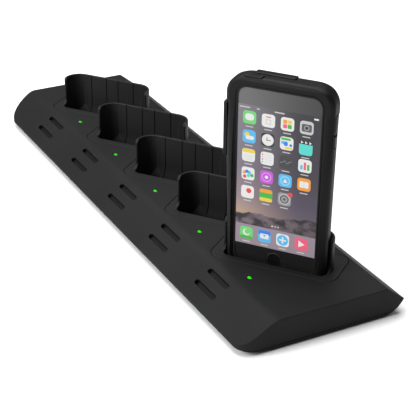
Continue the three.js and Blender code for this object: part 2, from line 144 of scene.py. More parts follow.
class Finish:
    """A material with one principled shader, built a node at a time."""

    def __init__(self, name, **fixed):
        self.material = bpy.data.materials.new(name)
        self.material.use_nodes = True
        self.tree = self.material.node_tree
        self.tree.nodes.clear()
        output = self.tree.nodes.new("ShaderNodeOutputMaterial")
        self.shader = self.tree.nodes.new("ShaderNodeBsdfPrincipled")
        self.tree.links.new(self.shader.outputs[0], output.inputs["Surface"])
        self.set({key.replace("_", " "): value for key, value in fixed.items()})

    def feed(self, socket, value):
        if isinstance(value, Wire):
            self.tree.links.new(value.socket, socket)
        elif isinstance(value, tuple) and len(value) == 3 and socket.type == "RGBA":
            socket.default_value = (*value, 1)
        else:
            socket.default_value = value

    def set(self, values):
        for key, value in values.items():
            self.feed(self.shader.inputs[key], value)

    def node(self, kind, settings=None, inputs=None, out=0):
        made = self.tree.nodes.new(kind)
        for key, value in (settings or {}).items():
            if key == "stops":
                ramp = made.color_ramp
                while len(ramp.elements) < len(value):
                    ramp.elements.new(1)
                for element, (place, colour) in zip(ramp.elements, value):
                    element.position, element.color = place, (*colour, 1)
            else:
                setattr(made, key, value)
        for key, value in (inputs or {}).items():
            self.feed(made.inputs[key], value)
        return Wire(self, made.outputs[out])

    def place(self):
        return self.node("ShaderNodeTexCoord", out="Object")

    def noise(self, per_metre, detail=3.0, stretch=(1, 1, 1)):
        turned = self.node("ShaderNodeMapping", {}, {"Vector": self.place(), "Scale": stretch})
        return self.node("ShaderNodeTexNoise", {}, {"Vector": turned, "Scale": per_metre, "Detail": detail})

    def mix(self, share, first, second):
        return self.node("ShaderNodeMix", {"data_type": "RGBA"}, {0: share, 6: first, 7: second}, out=2)

    def bump(self, height, depth_mm, strength=1.0):
        self.set({"Normal": self.node("ShaderNodeBump", {}, {"Height": height, "Strength": strength,
                                                             "Distance": depth_mm * MM})})


# %% [markdown]
# ## Finishes
# The dock is injection-moulded plastic with a spark-eroded grain: matt, with grains about a quarter of a
# millimetre across. Handling leaves it slightly smoother in patches. The same recipe, with other numbers,
# makes the inserts, the tray and the handset's sleeve.

# %% Moulded plastics


SATIN = 0.13


def moulded(name, dark, light, roughness, grain_mm=0.28, depth_mm=0.02):
    """Grained plastic: colour drifts between dark and light, and roughness varies with wear."""
    finish = Finish(name, Specular_IOR_Level=SATIN)
    drift = finish.noise(16, 4)
    fine = finish.noise(1 / (grain_mm * MM), 2)
    speck = fine.over(0.35, 0.65)
    finish.set({"Base Color": finish.mix(drift.over(0.3, 0.7) * 0.75 + speck * 0.25, dark, light)})
    rubbed = finish.noise(34, 5).over(0.42, 0.68)
    finish.set({"Roughness": roughness + 0.05 * (0.5 - rubbed) + (speck - 0.5) * 0.05})
    finish.bump(fine + 0.5 * finish.noise(0.4 / (grain_mm * MM), 1), depth_mm, 0.55)
    return finish.material


cover_plastic = moulded("charcoal cover plastic", (0.0085, 0.0086, 0.0089), (0.0112, 0.0113, 0.0116), 0.58)
insert_plastic = moulded("charcoal insert plastic", (0.0095, 0.0096, 0.0098), (0.0125, 0.0126, 0.0128), 0.52)
tray_plastic = moulded("dark tray plastic", (0.006, 0.006, 0.0063), (0.008, 0.008, 0.0083), 0.55)
sled_plastic = moulded("sleeve plastic", (0.0045, 0.0045, 0.0048), (0.0065, 0.0065, 0.0068), 0.46, 0.2, 0.01)
cap_plastic = moulded("sleeve cap plastic", (0.0045, 0.0045, 0.0048), (0.0065, 0.0065, 0.0068), 0.46, 0.2, 0.01)
key_plastic = moulded("key plastic", (0.008, 0.008, 0.0085), (0.012, 0.012, 0.0125), 0.4, 0.16, 0.008)
nylon = moulded("contact block nylon", (0.008, 0.008, 0.009), (0.013, 0.013, 0.014), 0.5, 0.35, 0.015)
rubber = moulded("foot rubber", (0.009, 0.009, 0.009), (0.016, 0.016, 0.016), 0.85, 0.4, 0.04)
print("moulded finishes made")

# %% [markdown]
# The metals are plated: gold on the contacts, nickel on the screws, blasted alloy on the handset. Brushing and
# handling show as roughness that varies more along one direction than the other.

# %% Metals, board and battery wrap


def plated(name, dull, bright, roughness, stretch=(1, 1, 6), per_metre=900):
    finish = Finish(name, Metallic=1.0)
    streak = finish.noise(per_metre, 4, stretch)
    finish.set({"Base Color": finish.mix(streak.over(0.3, 0.7), dull, bright),
                "Roughness": roughness + (streak - 0.5) * 0.22})
    finish.bump(streak, 0.006, 0.4)
    return finish.material


gold = plated("gold plate", (0.62, 0.40, 0.13), (0.86, 0.62, 0.26), 0.28)
spring_steel = plated("spring steel", (0.42, 0.43, 0.45), (0.62, 0.63, 0.65), 0.3, (6, 6, 1))
screw_steel = plated("nickelled steel", (0.30, 0.30, 0.31), (0.52, 0.52, 0.54), 0.34)
alloy = plated("blasted alloy", (0.36, 0.37, 0.39), (0.50, 0.51, 0.53), 0.42, (1, 1, 1), 2600)

mask = Finish("solder mask", Coat_Roughness=0.15)
lane = mask.node("ShaderNodeTexBrick", {"offset": 0.5}, {
    "Vector": mask.place(), "Scale": 260.0, "Color1": (0.004, 0.022, 0.010), "Color2": (0.005, 0.026, 0.012),
    "Mortar": (0.012, 0.050, 0.026), "Mortar Size": 0.045, "Brick Width": 1.9, "Row Height": 0.42})
mask.set({"Base Color": lane, "Roughness": mask.noise(70, 3).over(0.3, 0.7, 0.3, 0.46)})
mask.bump(mask.noise(900, 3), 0.02, 0.5)
solder_mask = mask.material

wrap = Finish("battery wrap")
crease = wrap.noise(120, 5, (1, 3, 1))
wrap.set({"Base Color": wrap.mix(crease, (0.16, 0.17, 0.19), (0.26, 0.27, 0.29)),
          "Metallic": crease.over(0.2, 0.8, 0.35, 0.6), "Roughness": crease.over(0.3, 0.7, 0.3, 0.5)})
wrap.bump(crease, 0.15, 0.6)
battery_wrap = wrap.material
print("metal, board and battery finishes made")

# %% [markdown]
# The status lamps are clear green light pipes over small green lamps. The light fills the pipe, so the whole
# top glows, a little cloudy. The board's own lamps use the same finish, a little dimmer.

# %% Lamps and dark windows


def glowing(name, core, edge, strength):
    finish = Finish(name, Emission_Strength=strength, Roughness=0.35, Specular_IOR_Level=0.1)
    cloud = finish.noise(700, 2).over(0.3, 0.7)
    finish.set({"Base Color": finish.mix(cloud, (0.005, 0.05, 0.005), (0.01, 0.08, 0.01)),
                "Emission Color": finish.mix(cloud, core, edge)})
    finish.bump(cloud, 0.01, 0.3)
    return finish.material


lamp_green = glowing("lit light pipe", (0.02, 0.60, 0.0), (0.04, 0.74, 0.0), 1.0)
led_green = glowing("board lamp", (0.02, 0.30, 0.02), (0.05, 0.40, 0.05), 0.25)

tint = Finish("tinted window", Specular_IOR_Level=0.2)
smear = tint.noise(60, 4, (1, 1, 3))
tint.set({"Base Color": tint.mix(smear, (0.003, 0.003, 0.004), (0.008, 0.006, 0.008)),
          "Roughness": smear.over(0.3, 0.75, 0.25, 0.36)})
tint.bump(smear, 0.01, 0.2)
scanner_tint = tint.material
print("lamp and window finishes made")

# %% [markdown]
# ## Drawing solids
# Most of these mouldings are outlines that rise and change size as they rise: a rounded edge is only a few
# levels that draw in together. So one function draws an outline, one gives the levels, and one joins the
# levels into a closed solid. Openings are cut with exact booleans, and a cutter that flares at the surface
# leaves a rounded lip behind, which is steadier than bevelling the cut edge later.

# %% Outlines, levels and solids


def rounded(u0, u1, v0, v1, radii, grow=0.0, steps=8):
    """A rectangle with a radius at each corner, counter-clockwise from the low corner."""
    u0, u1, v0, v1 = u0 - grow, u1 + grow, v0 - grow, v1 + grow
    most = min(u1 - u0, v1 - v0) / 2 - 0.004
    points = []
    corners = ((u0, v0, 1, 1), (u1, v0, -1, 1), (u1, v1, -1, -1), (u0, v1, 1, -1))
    for quarter, ((u, v, su, sv), radius) in enumerate(zip(corners, radii)):
        r = min(max(radius + grow, 0.03), most)
        for i in range(steps + 1):
            angle = math.radians(180 + 90 * (quarter + i / steps))
            points.append((u + su * r + r * math.cos(angle), v + sv * r + r * math.sin(angle)))
    return points


def bounded(u0, u1, v0, v1, radius, steps=8):
    """An outline function for a rectangle with equal soft corners: it takes the growth and gives the points."""
    return lambda grow: rounded(u0, u1, v0, v1, [radius] * 4, grow, steps)


def around(u, v, width, depth, radius, steps=8):
    """The same, given by its middle and its size."""
    return bounded(u - width / 2, u + width / 2, v - depth / 2, v + depth / 2, radius, steps)


def circle(u, v, radius, sides=48):
    """The same for a round block."""
    return lambda grow: [(u + (radius + grow) * math.cos(math.tau * i / sides),
                          v + (radius + grow) * math.sin(math.tau * i / sides)) for i in range(sides)]


def levels(low, high, bottom=0.0, top=0.0, steps=4):
    """(height, growth) of each level. A positive radius rounds an edge, and a negative one flares it."""
    turns = [math.pi / 2 * i / steps for i in range(steps + 1)]
    foot = [(low + abs(bottom) * (1 - math.sin(t)), -bottom * (1 - math.cos(t))) for t in reversed(turns)]
    head = [(high - abs(top) * (1 - math.sin(t)), -top * (1 - math.cos(t))) for t in turns]
    return (foot if bottom else [(low, 0.0)]) + (head if top else [(high, 0.0)])


WAYS = {"up": lambda a, b, h: (a, b, h), "front": lambda a, b, h: (a, -h, b), "along": lambda a, b, h: (h, a, b)}


def solid(rings, way="up"):
    """A closed solid through (height, points) rings. Drawn up, out to the front, or along X."""
    verts = [WAYS[way](a, b, height) for height, points in rings for a, b in points]
    count = len(rings[0][1])
    faces = [tuple(reversed(range(count))), tuple(range(len(verts) - count, len(verts)))]
    for ring in range(len(rings) - 1):
        base = ring * count
        for i in range(count):
            j = (i + 1) % count
            faces.append((base + i, base + j, base + count + j, base + count + i))
    mesh = bpy.data.meshes.new("solid")
    mesh.from_pydata(verts, [], faces)
    work = bmesh.new()
    work.from_mesh(mesh)
    bmesh.ops.remove_doubles(work, verts=work.verts, dist=1e-4)
    bmesh.ops.dissolve_degenerate(work, edges=work.edges, dist=1e-5)
    bmesh.ops.recalc_face_normals(work, faces=work.faces)
    work.to_mesh(mesh)
    work.free()
    made = bpy.data.objects.new("solid", mesh)
    bpy.context.scene.collection.objects.link(made)
    return made


def raised(outline, steps, way="up"):
    """A solid from an outline function and its (height, growth) levels."""
    return solid([(height, outline(grow)) for height, grow in steps], way)


def brick(u0, u1, v0, v1, low, high, radius=0.0):
    """A block with soft upright edges and, if radius is given, soft top and bottom edges."""
    steps = levels(low, high, radius * 0.6, radius * 0.6, 2)
    return raised(bounded(u0, u1, v0, v1, radius, 3 if radius else 1), steps)


# %% Joining and cutting


def bin_object(thing):
    mesh = thing.data
    bpy.data.objects.remove(thing)
    if mesh.users == 0:
        bpy.data.meshes.remove(mesh)


def settle(thing):
    """Turns an object's modifiers into plain mesh and removes them."""
    bpy.context.view_layer.update()
    view = bpy.context.evaluated_depsgraph_get()
    mesh = bpy.data.meshes.new_from_object(thing.evaluated_get(view))
    thing.modifiers.clear()
    thing.data = mesh
    return thing


def open_edges(thing):
    """How many edges of a mesh don't have exactly two faces."""
    work = bmesh.new()
    work.from_mesh(thing.data)
    count = sum(1 for edge in work.edges if len(edge.link_faces) != 2)
    work.free()
    return count


def boolean(thing, tools, operation):
    """Cuts with, adds or keeps the common part of each tool in turn, exactly."""
    for tool in tools:
        before = thing.data.copy()
        for solver in ("MANIFOLD", "EXACT"):
            step = thing.modifiers.new("step", "BOOLEAN")
            step.operation, step.solver, step.object = operation, solver, tool
            settle(thing)
            if len(thing.data.polygons) > 3 and open_edges(thing) == 0:
                break
            thing.data = before.copy()
        else:
            print("  a cut left", thing.name, "open")
        bin_object(tool)
    return thing


def cut(thing, *tools): return boolean(thing, tools, "DIFFERENCE")
def add(thing, *tools): return boolean(thing, tools, "UNION")
def keep(thing, *tools): return boolean(thing, tools, "INTERSECT")


def moved(thing, matrix):
    thing.data.transform(matrix)
    return thing


def joined(*things):
    """Several separate solids as one mesh, with nothing cut."""
    work = bmesh.new()
    for thing in things:
        work.from_mesh(thing.data)
    work.to_mesh(things[0].data)
    work.free()
    for thing in things[1:]:
        bin_object(thing)
    return things[0]


def copied(thing, matrix=Matrix()):
    twin = bpy.data.objects.new(thing.name, thing.data.copy())
    bpy.context.scene.collection.objects.link(twin)
    return moved(twin, matrix)


# %% [markdown]
# A finished piece is scaled to metres, shaded smooth except across real edges, and given its finish. It rides
# on a body of the frame and says which plain solids it stands for.

# %% Finishing a piece


def finish_piece(name, thing, body, material, nodes=(), crease=34):
    work = bmesh.new()
    work.from_mesh(thing.data)
    bmesh.ops.remove_doubles(work, verts=work.verts, dist=2e-4)
    bmesh.ops.dissolve_degenerate(work, edges=work.edges, dist=1e-4)
    work.to_mesh(thing.data)
    work.free()
    moved(thing, Matrix.Scale(MM, 4))
    thing.data.shade_smooth()
    thing.data.set_sharp_from_angle(angle=math.radians(crease))
    weigh = thing.modifiers.new("weigh", "WEIGHTED_NORMAL")
    weigh.keep_sharp = True
    settle(thing)
    thing.name = thing.data.name = name
    thing.data.materials.clear()
    thing.data.materials.append(material)
    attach(thing, body)
    if nodes:
        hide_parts(*nodes)
    print(f"{name}: {len(thing.data.polygons)} faces, {open_edges(thing)} open edges")
    return thing


# %% [markdown]
# ## Copies by rule
# Vents, screws, feet, pins and small board parts all repeat. Two geometry trees make them: one sets copies
# along a straight row, and one sets them on given spots. Each ends in Realize Instances and Set Material.

# %% Two geometry trees


def new_tree(name, inputs):
    tree = bpy.data.node_groups.new(name, "GeometryNodeTree")
    tree.interface.new_socket("Geometry", in_out="INPUT", socket_type="NodeSocketGeometry")
    for label, kind in {**inputs, "Shape": "NodeSocketObject", "Finish": "NodeSocketMaterial"}.items():
        tree.interface.new_socket(label, in_out="INPUT", socket_type=kind)
    tree.interface.new_socket("Geometry", in_out="OUTPUT", socket_type="NodeSocketGeometry")
    return tree, tree.nodes.new("NodeGroupInput")


def end_tree(tree, given, points, **instancing):
    """Copies of the shape on the points, made real and given their finish."""
    link, new = tree.links.new, tree.nodes.new
    shape, copies = new("GeometryNodeObjectInfo"), new("GeometryNodeInstanceOnPoints")
    real, paint = new("GeometryNodeRealizeInstances"), new("GeometryNodeSetMaterial")
    output = new("NodeGroupOutput")
    link(given.outputs["Shape"], shape.inputs["Object"])
    link(points, copies.inputs["Points"])
    link(shape.outputs["Geometry"], copies.inputs["Instance"])
    for socket, source in instancing.items():
        link(source, copies.inputs[socket])
    link(copies.outputs["Instances"], real.inputs["Geometry"])
    link(real.outputs["Geometry"], paint.inputs["Geometry"])
    link(given.outputs["Finish"], paint.inputs["Material"])
    link(paint.outputs["Geometry"], output.inputs["Geometry"])
    return tree


def row_tree():
    tree, given = new_tree("Row of copies", {"Count": "NodeSocketInt", "Start": "NodeSocketVector",
                                             "Step": "NodeSocketVector"})
    line = tree.nodes.new("GeometryNodeMeshLine")
    for source, socket in (("Count", "Count"), ("Start", "Start Location"), ("Step", "Offset")):
        tree.links.new(given.outputs[source], line.inputs[socket])
    return end_tree(tree, given, line.outputs["Mesh"])


def spots_tree():
    tree, given = new_tree("Copies on spots", {"Size low": "NodeSocketVector", "Size high": "NodeSocketVector",
                                               "Seed": "NodeSocketInt"})
    size = tree.nodes.new("FunctionNodeRandomValue")
    size.data_type = "FLOAT_VECTOR"
    for source, socket in (("Size low", "Min"), ("Size high", "Max"), ("Seed", "Seed")):
        tree.links.new(given.outputs[source], size.inputs[socket])
    return end_tree(tree, given, given.outputs["Geometry"], Scale=size.outputs["Value"])


ROW, SPOTS = row_tree(), spots_tree()


def grown(tree, material, spots=(), **inputs):
    """Runs a tree on a few spots, sets its named inputs, and gives back a plain mesh."""
    mesh = bpy.data.meshes.new("spots")
    mesh.from_pydata([tuple(spot) for spot in spots], [], [])
    made = bpy.data.objects.new("grown", mesh)
    bpy.context.scene.collection.objects.link(made)
    step = made.modifiers.new("copies", "NODES")
    step.node_group = tree
    named = {s.name: s.identifier for s in tree.interface.items_tree if s.in_out == "INPUT"}
    for label, value in {**inputs, "Finish": material}.items():
        step[named[label.replace("_", " ")]] = value
    settle(made)
    bin_object(inputs["Shape"])
    return made


def row(shape, count, start, step, material=None):
    return grown(ROW, material or nylon, Shape=shape, Count=count, Start=start, Step=step)


def on_spots(shape, spots, material=None, low=(1, 1, 1), high=(1, 1, 1), seed=3):
    return grown(SPOTS, material or nylon, spots, Shape=shape, Size_low=low, Size_high=high, Seed=seed)


print("trees:", ROW.name, "and", SPOTS.name)

# %% [markdown]
# ## The dock's outside
# Seen from the end, the dock is a wedge with a long front slope, a flat deck and a full, curved rear belly.
# Seen from above it is a rectangle whose two front corners are rounded, the far one more than the near one.
# At any height, then, its outline is known: a front line, a rear line and two rounded corners. Stacking those
# outlines gives the whole body, with a soft edge all the way round the end faces.

# %% The wedge as stacked outlines
SLOPE = math.radians(30.5)
SLOPE_FOOT_Y = -37.6
UNDERSIDE_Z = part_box("base_tray")[0][2] / MM
FAR_CORNER_R, NEAR_CORNER_R = 28.0, 12.0
SHOULDER_R = 16.0
END_EDGE_R, INNER_EDGE_R, NOSE_R, REAR_EDGE_R = 0.9, 0.3, 1.5, 3.0
SLOPE_END, RING_STEP, COVER_WALL, TRAY_WALL = 120.5, 0.7, 2.4, 2.2


def arc(y, z, radius, start, end, steps):
    angles = [math.radians(start + (end - start) * i / steps) for i in range(steps + 1)]
    return [(y + radius * math.cos(a), z + radius * math.sin(a)) for a in angles]


def inset(points, distance):
    """Each corner of a counter-clockwise outline moved inwards by a distance."""
    made = []
    for i, (y, z) in enumerate(points):
        before = (Vector((y, z)) - Vector(points[i - 1])).normalized()
        after = (Vector(points[(i + 1) % len(points)]) - Vector((y, z))).normalized()
        normals = Vector((-before.y, before.x)), Vector((-after.y, after.x))
        lean = (normals[0] + normals[1]).normalized()
        made.append((y + lean.x * distance / lean.dot(normals[0]), z + lean.y * distance / lean.dot(normals[0])))
    return made


belly = arc(46.8, UNDERSIDE_Z + 19.43, 19.43, -90, -28.3, 14)
front_belly = [(-51.5, 2.0), (-40.0, UNDERSIDE_Z)]
nose_z = DECK_Z + (NOSE_Y + NOSE_R - SLOPE_FOOT_Y) * math.tan(SLOPE) - NOSE_R / math.cos(SLOPE)
outer_rear = belly + arc(48.9, DECK_Z - REAR_EDGE_R, REAR_EDGE_R, 51, 90, 8)
shoulder_y = SLOPE_FOOT_Y + SHOULDER_R * math.tan(SLOPE / 2)
shoulder = arc(shoulder_y, DECK_Z - SHOULDER_R, SHOULDER_R, 90, SLOPE_END, 16)
outer_front = (shoulder + arc(NOSE_Y + NOSE_R, nose_z, NOSE_R, SLOPE_END, 257, 12) + front_belly)[::-1]


def walls_inside(wall):
    corners = [(50.6, DECK_Z), (SLOPE_FOOT_Y, DECK_Z), (-66.4, 5.2)]
    made = inset(belly + corners + front_belly, wall)
    split = len(belly) + 1
    return made[:split], made[split:][::-1]


def at_height(chain, z):
    """The y of a chain of points at a height."""
    heights = [point[1] for point in chain]
    i = min(max(bisect_left(heights, z), 1), len(chain) - 1)
    (y0, z0), (y1, z1) = chain[i - 1], chain[i]
    share = 0 if z1 == z0 else min(max((z - z0) / (z1 - z0), 0), 1)
    return y0 + (y1 - y0) * share


def front_corner(end, line_y, corner_r, soft, nose_y):
    """The far front corner of one outline: down the end, round the corner, onto the front line."""
    centre = Vector((-HALF_LENGTH + corner_r, nose_y + corner_r))
    shift = HALF_LENGTH - end
    if line_y + soft >= centre.y:
        small, turn = Vector((-end + soft, line_y + soft)), math.pi
        plan = [(-end, line_y + soft)] * 13
    else:
        reach = math.sqrt(max((corner_r - soft) ** 2 - (line_y + soft - centre.y) ** 2, 0))
        small = Vector((centre.x - reach, line_y + soft))
        turn = math.atan2(small.y - centre.y, small.x - centre.x) % math.tau
        angles = [math.pi + (turn - math.pi) * i / 12 for i in range(13)]
        plan = [(centre.x + corner_r * math.cos(a) + shift, centre.y + corner_r * math.sin(a)) for a in angles]
        small.x += shift
    angles = [turn + (1.5 * math.pi - turn) * i / 6 for i in range(1, 7)]
    return plan + [(small.x + soft * math.cos(a), small.y + soft * math.sin(a)) for a in angles]


def wedge(chains, low, high, wall=0.0):
    """The dock's body between two heights, drawn in from its ends by a wall."""
    rear, front = chains
    end, soft = HALF_LENGTH - wall, INNER_EDGE_R if wall else END_EDGE_R
    heights = sorted({low, high, *(z for _, z in rear + front if low < z < high),
                      *(low + RING_STEP * i for i in range(1, int((high - low) / RING_STEP))),
                      *(DECK_Z - soft * (1 - math.sin(math.radians(a))) for a in range(0, 90, 15) if wall == 0)})
    rings = []
    for z in (h for h in heights if low <= h <= high):
        lift = max(z - (DECK_Z - soft), 0) if wall == 0 else 0
        drawn = end - (soft - math.sqrt(max(soft ** 2 - lift ** 2, 0)))
        front_y, rear_y = at_height(front, z), at_height(rear, z)
        far, near = (front_corner(drawn, front_y, radius - wall, soft, NOSE_Y + wall)
                     for radius in (FAR_CORNER_R, NEAR_CORNER_R))
        back = [(drawn - soft + soft * math.cos(math.radians(a)), rear_y - soft + soft * math.sin(math.radians(a)))
                for a in range(0, 91, 18)]
        rings.append((z, far + [(-x, y) for x, y in reversed(near)] + back + [(-x, y) for x, y in reversed(back)]))
    return solid(rings)


print("section points:", len(outer_rear) + len(outer_front))

# %% [markdown]
# ## The top cover
# The cover is one moulding: deck, slope, nose, end faces and nearly all of the belly. It has five openings for
# the inserts, a pair of vents on the slope before each bay, a lamp hole beside each vent pair, a socket hole
# in the far end and screw bosses inside. The cutters of the openings, vents and lamp holes flare where they meet
# the surface, and the ten vent cutters are two rows made by the row tree. A dark screen lies under each vent, so
# that no board shows.

# %% Cut the cover
INSERT_W, INSERT_D, INSERT_R = 93.5, 40.0, 8.5
VENT_L, VENT_W, VENT_OFFSET, VENT_ROWS = 27.8, 3.8, 3.1, (-42.8, -52.9)
LAMP_L, LAMP_W, LAMP_DX, LAMP_Y = 3.9, 2.5, 15.9, -25.6
SCREWS = [(x, -33.5) for x in (-185.1, 34.9, 181.6)] + [(x, 45.0) for x in (-185.1, -38.4, 181.6)]
INLET_Y, INLET_Z, INLET_W, INLET_H = 20.0, 12.8, 14.0, 10.0


insert_outline = around(0, 0, INSERT_W, INSERT_D, INSERT_R)


def slot_outline(length, width):
    return around(0, 0, length, width, width / 2, 5)


def flared(outline, low, surface, lip, clear=3.0, way="up"):
    """A cutter whose sides turn outwards at the surface, so that it leaves a rounded lip."""
    return raised(outline, levels(low, surface, 0, -lip, 4) + [(surface + clear, lip)], way)


def rod(x, y, low, high, radius, sides=32, soft=0.0):
    return raised(circle(x, y, radius, sides), levels(low, high, soft, soft, 2) if soft else levels(low, high))


def vent_row(row_y):
    surface = DECK_Z + (row_y - SLOPE_FOOT_Y) * math.tan(SLOPE)
    cutter = moved(flared(slot_outline(VENT_L, VENT_W), -7, 0, 0.45), Matrix.Rotation(SLOPE, 4, "X"))
    return row(cutter, BAYS, (bay_middles[0][0] + VENT_OFFSET, row_y, surface), (PITCH, 0, 0))


bosses = [rod(x, y, 7.6, DECK_Z - 1.2, 3.2, 24) for x, y in SCREWS]
bores = [rod(x, y, 5, 16, 1.8, 24) for x, y in SCREWS]
openings = [moved(flared(insert_outline, 12, DECK_Z, 0.35), in_bay(bay)) for bay in range(BAYS)]
lamp_cutter = flared(slot_outline(LAMP_L + 2 * GAP, LAMP_W + 2 * GAP), 12, DECK_Z, 0.25)
lamp_holes = row(lamp_cutter, BAYS, (bay_middles[0][0] + LAMP_DX, LAMP_Y, 0), (PITCH, 0, 0))
cover = wedge((outer_rear, outer_front), PARTING_Z + GAP / 2, DECK_Z)
hollow = wedge(walls_inside(COVER_WALL), PARTING_Z - 1, DECK_Z - COVER_WALL, COVER_WALL)
cut(cover, hollow)
add(cover, joined(*bosses))
cut(cover, joined(*bores), joined(*openings), vent_row(VENT_ROWS[0]), vent_row(VENT_ROWS[1]), lamp_holes)
inlet_hole = brick(-HALF_LENGTH - 2, -HALF_LENGTH + 5, INLET_Y - INLET_W / 2 - GAP, INLET_Y + INLET_W / 2 + GAP,
                   INLET_Z - INLET_H / 2 - GAP, INLET_Z + INLET_H / 2 + GAP)
cut(cover, inlet_hole)
finish_piece("dock_cover", cover, "dock", cover_plastic, ["top_cover"])

screen = moved(brick(-15.5, 15.5, -2.9, 2.9, -3.5, -2.9), Matrix.Rotation(SLOPE, 4, "X"))
screens = []
for row_y in VENT_ROWS:
    start = (bay_middles[0][0] + VENT_OFFSET, row_y, DECK_Z + (row_y - SLOPE_FOOT_Y) * math.tan(SLOPE))
    screens.append(row(copied(screen), BAYS, start, (PITCH, 0, 0)))
finish_piece("vent_screens", joined(*screens), "dock", tray_plastic)
bin_object(screen)

# %% [markdown]
# ## The base tray
# The tray closes the dock from below. It carries the foot of the belly, the recesses for screws and feet, and
# short posts for the board. A row of stiffening ribs runs across its inside.

# %% Make the tray
FEET = [(x, y) for y in (-30, 36) for x in (-165, 0, 165)]
tray = wedge((outer_rear, outer_front), UNDERSIDE_Z, PARTING_Z - GAP / 2)
cut(tray, wedge(walls_inside(TRAY_WALL), UNDERSIDE_Z + TRAY_WALL, PARTING_Z + 1, TRAY_WALL))
collars = [rod(x, y, 1.4, 6, 4.2, 28) for x, y in SCREWS]
posts = [rod(x, y, 2, 4.2 - GAP, 2.5, 20) for x in (-190, -112, -20, 72, 190) for y in (-20, 30)]
rib = brick(-0.5, 0.5, -27, 43, 2.4, 3.7)
ribs = row(rib, 12, (-176.3, 0, 0), (32.05, 0, 0))
add(tray, joined(*collars), joined(*posts), ribs)
cut(tray, joined(*[rod(x, y, -1, 7, 1.8, 24) for x, y in SCREWS]))
cut(tray, joined(*[raised(circle(x, y, 3.4, 36), [(-1, 0.3), (UNDERSIDE_Z, 0.3), (UNDERSIDE_Z + 0.3, 0), (3.2, 0)])
                   for x, y in SCREWS]),
    joined(*[raised(circle(x, y, 7.3, 48), [(-1, 0.3), (UNDERSIDE_Z, 0.3), (UNDERSIDE_Z + 0.3, 0), (1.9, 0)])
             for x, y in FEET]))
finish_piece("dock_tray", tray, "dock", tray_plastic, ["base_tray"])

# %% [markdown]
# ## Screws and feet
# Six pan-head screws with a cross recess hold the tray, and six rubber pucks keep it off the table. One of
# each is drawn, and the spots tree sets the copies.

# %% Set screws and feet
thread = [(3.4 + 0.35 * i, 1.4 if i % 2 else 1.15) for i in range(30)]
screw_steps = [(1.1, 2.35), (1.25, 2.7), (1.5, 2.93), (1.9, 3.0), (2.9, 3.0), (2.9, 1.2), *thread, (14, 0.4)]
screw = solid([(z, circle(0, 0, r, 28)(0)) for z, r in screw_steps])
blades = add(brick(-1.9, 1.9, -0.3, 0.3, 0.6, 2.2), brick(-0.3, 0.3, -1.9, 1.9, 0.5, 2.15))
cut(screw, blades)
screws = on_spots(screw, [(x, y, 0) for x, y in SCREWS], screw_steel)
finish_piece("base_screws", screws, "dock", screw_steel, [f"base_screw_{i + 1}" for i in range(6)])

puck = rod(0, 0, 0, 1.6, 7, 56, 0.35)
for radius in (2.2, 4.4):
    groove = cut(rod(0, 0, -1, 0.3, radius + 0.35, 48), rod(0, 0, -2, 1, radius - 0.35, 48))
    cut(puck, groove)
feet = on_spots(puck, [(x, y, 0) for x, y in FEET], rubber)
finish_piece("rubber_feet", feet, "dock", rubber, [f"foot_{i + 1}" for i in range(6)])

# %% [markdown]
# ## The bay inserts
# Each bay is lined with one insert: a plate flush with the deck, a pocket that goes down to the contacts, and
# a tall wall that wraps round the back and sides of the pocket to hold the handset upright. The wall's top is
# fully rounded, its front edges meet the plate in a small fillet, and four thin grooves run down its inner
# face and over the ramp at its foot. All five are the same moulding, so one is drawn and copied.

# %% Draw one insert
CRADLE_HALF, CRADLE_BACK, CRADLE_FRONT, CRADLE_TOP = 40.0, -10.6, 15.7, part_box("bay_insert_1")[1][2] / MM
WALL, WALL_FRONT, FLOOR_Z, BASE_Z = 2.0, 5.8, 10.4, 8.3
RAMP_TOP, RAMP_FOOT, RAMP_REACH, RAMP_HALF, RAMP_FLARE = 19.0, 12.0, 3.7, 27.0, 6.0
GROOVES, GROOVE_W, GROOVE_DEEP = (-20.5, -5.7, 5.7, 20.5), 1.0, 0.6
INNER_Y = -CRADLE_BACK - WALL


def cradle_outline(inwards=0.0):
    """The pocket's outline: tighter corners at the front, wide ones at the back."""
    radii = [7 - inwards, 7 - inwards, 15 - inwards, 15 - inwards]
    return lambda grow: rounded(-CRADLE_HALF + inwards, CRADLE_HALF - inwards, -CRADLE_FRONT + inwards,
                                -CRADLE_BACK - inwards, radii, grow, 12)


def drawn_out(points, low, high, way):
    return solid([(low, points), (high, points)], way)


def wall_front_cutter():
    """Everything before the walls: square to the deck, with a foot fillet and a rounded top corner."""
    face, r = -WALL_FRONT, 4
    fillet = arc(face - r, DECK_Z + r, r, 270, 360, 10)
    shoulder = arc(face + r, CRADLE_TOP - r, r, 180, 90, 10)
    outline = [(-30, CRADLE_TOP + 5), (-30, DECK_Z), *fillet, *shoulder, (face + r, CRADLE_TOP + 5)]
    return drawn_out(outline, -60, 60, "along")


def wall_nose_cutters():
    """Rounds the two upright front edges of the walls."""
    tools = []
    for side in (-1, 1):
        middle_u = side * (CRADLE_HALF - WALL / 2)
        curve = [(middle_u + a, -WALL_FRONT + 1 - b) for a, b in arc(0, 0, 0.999, 180, 0, 12)]
        outline = [(middle_u - 1.6, -WALL_FRONT + 1), *curve, (middle_u + 1.6, -WALL_FRONT + 1),
                   (middle_u + 1.6, -WALL_FRONT - 1), (middle_u - 1.6, -WALL_FRONT - 1)]
        tools.append(drawn_out(outline[::-1], DECK_Z + 4.2, CRADLE_TOP + 2, "up"))
    return joined(*tools)


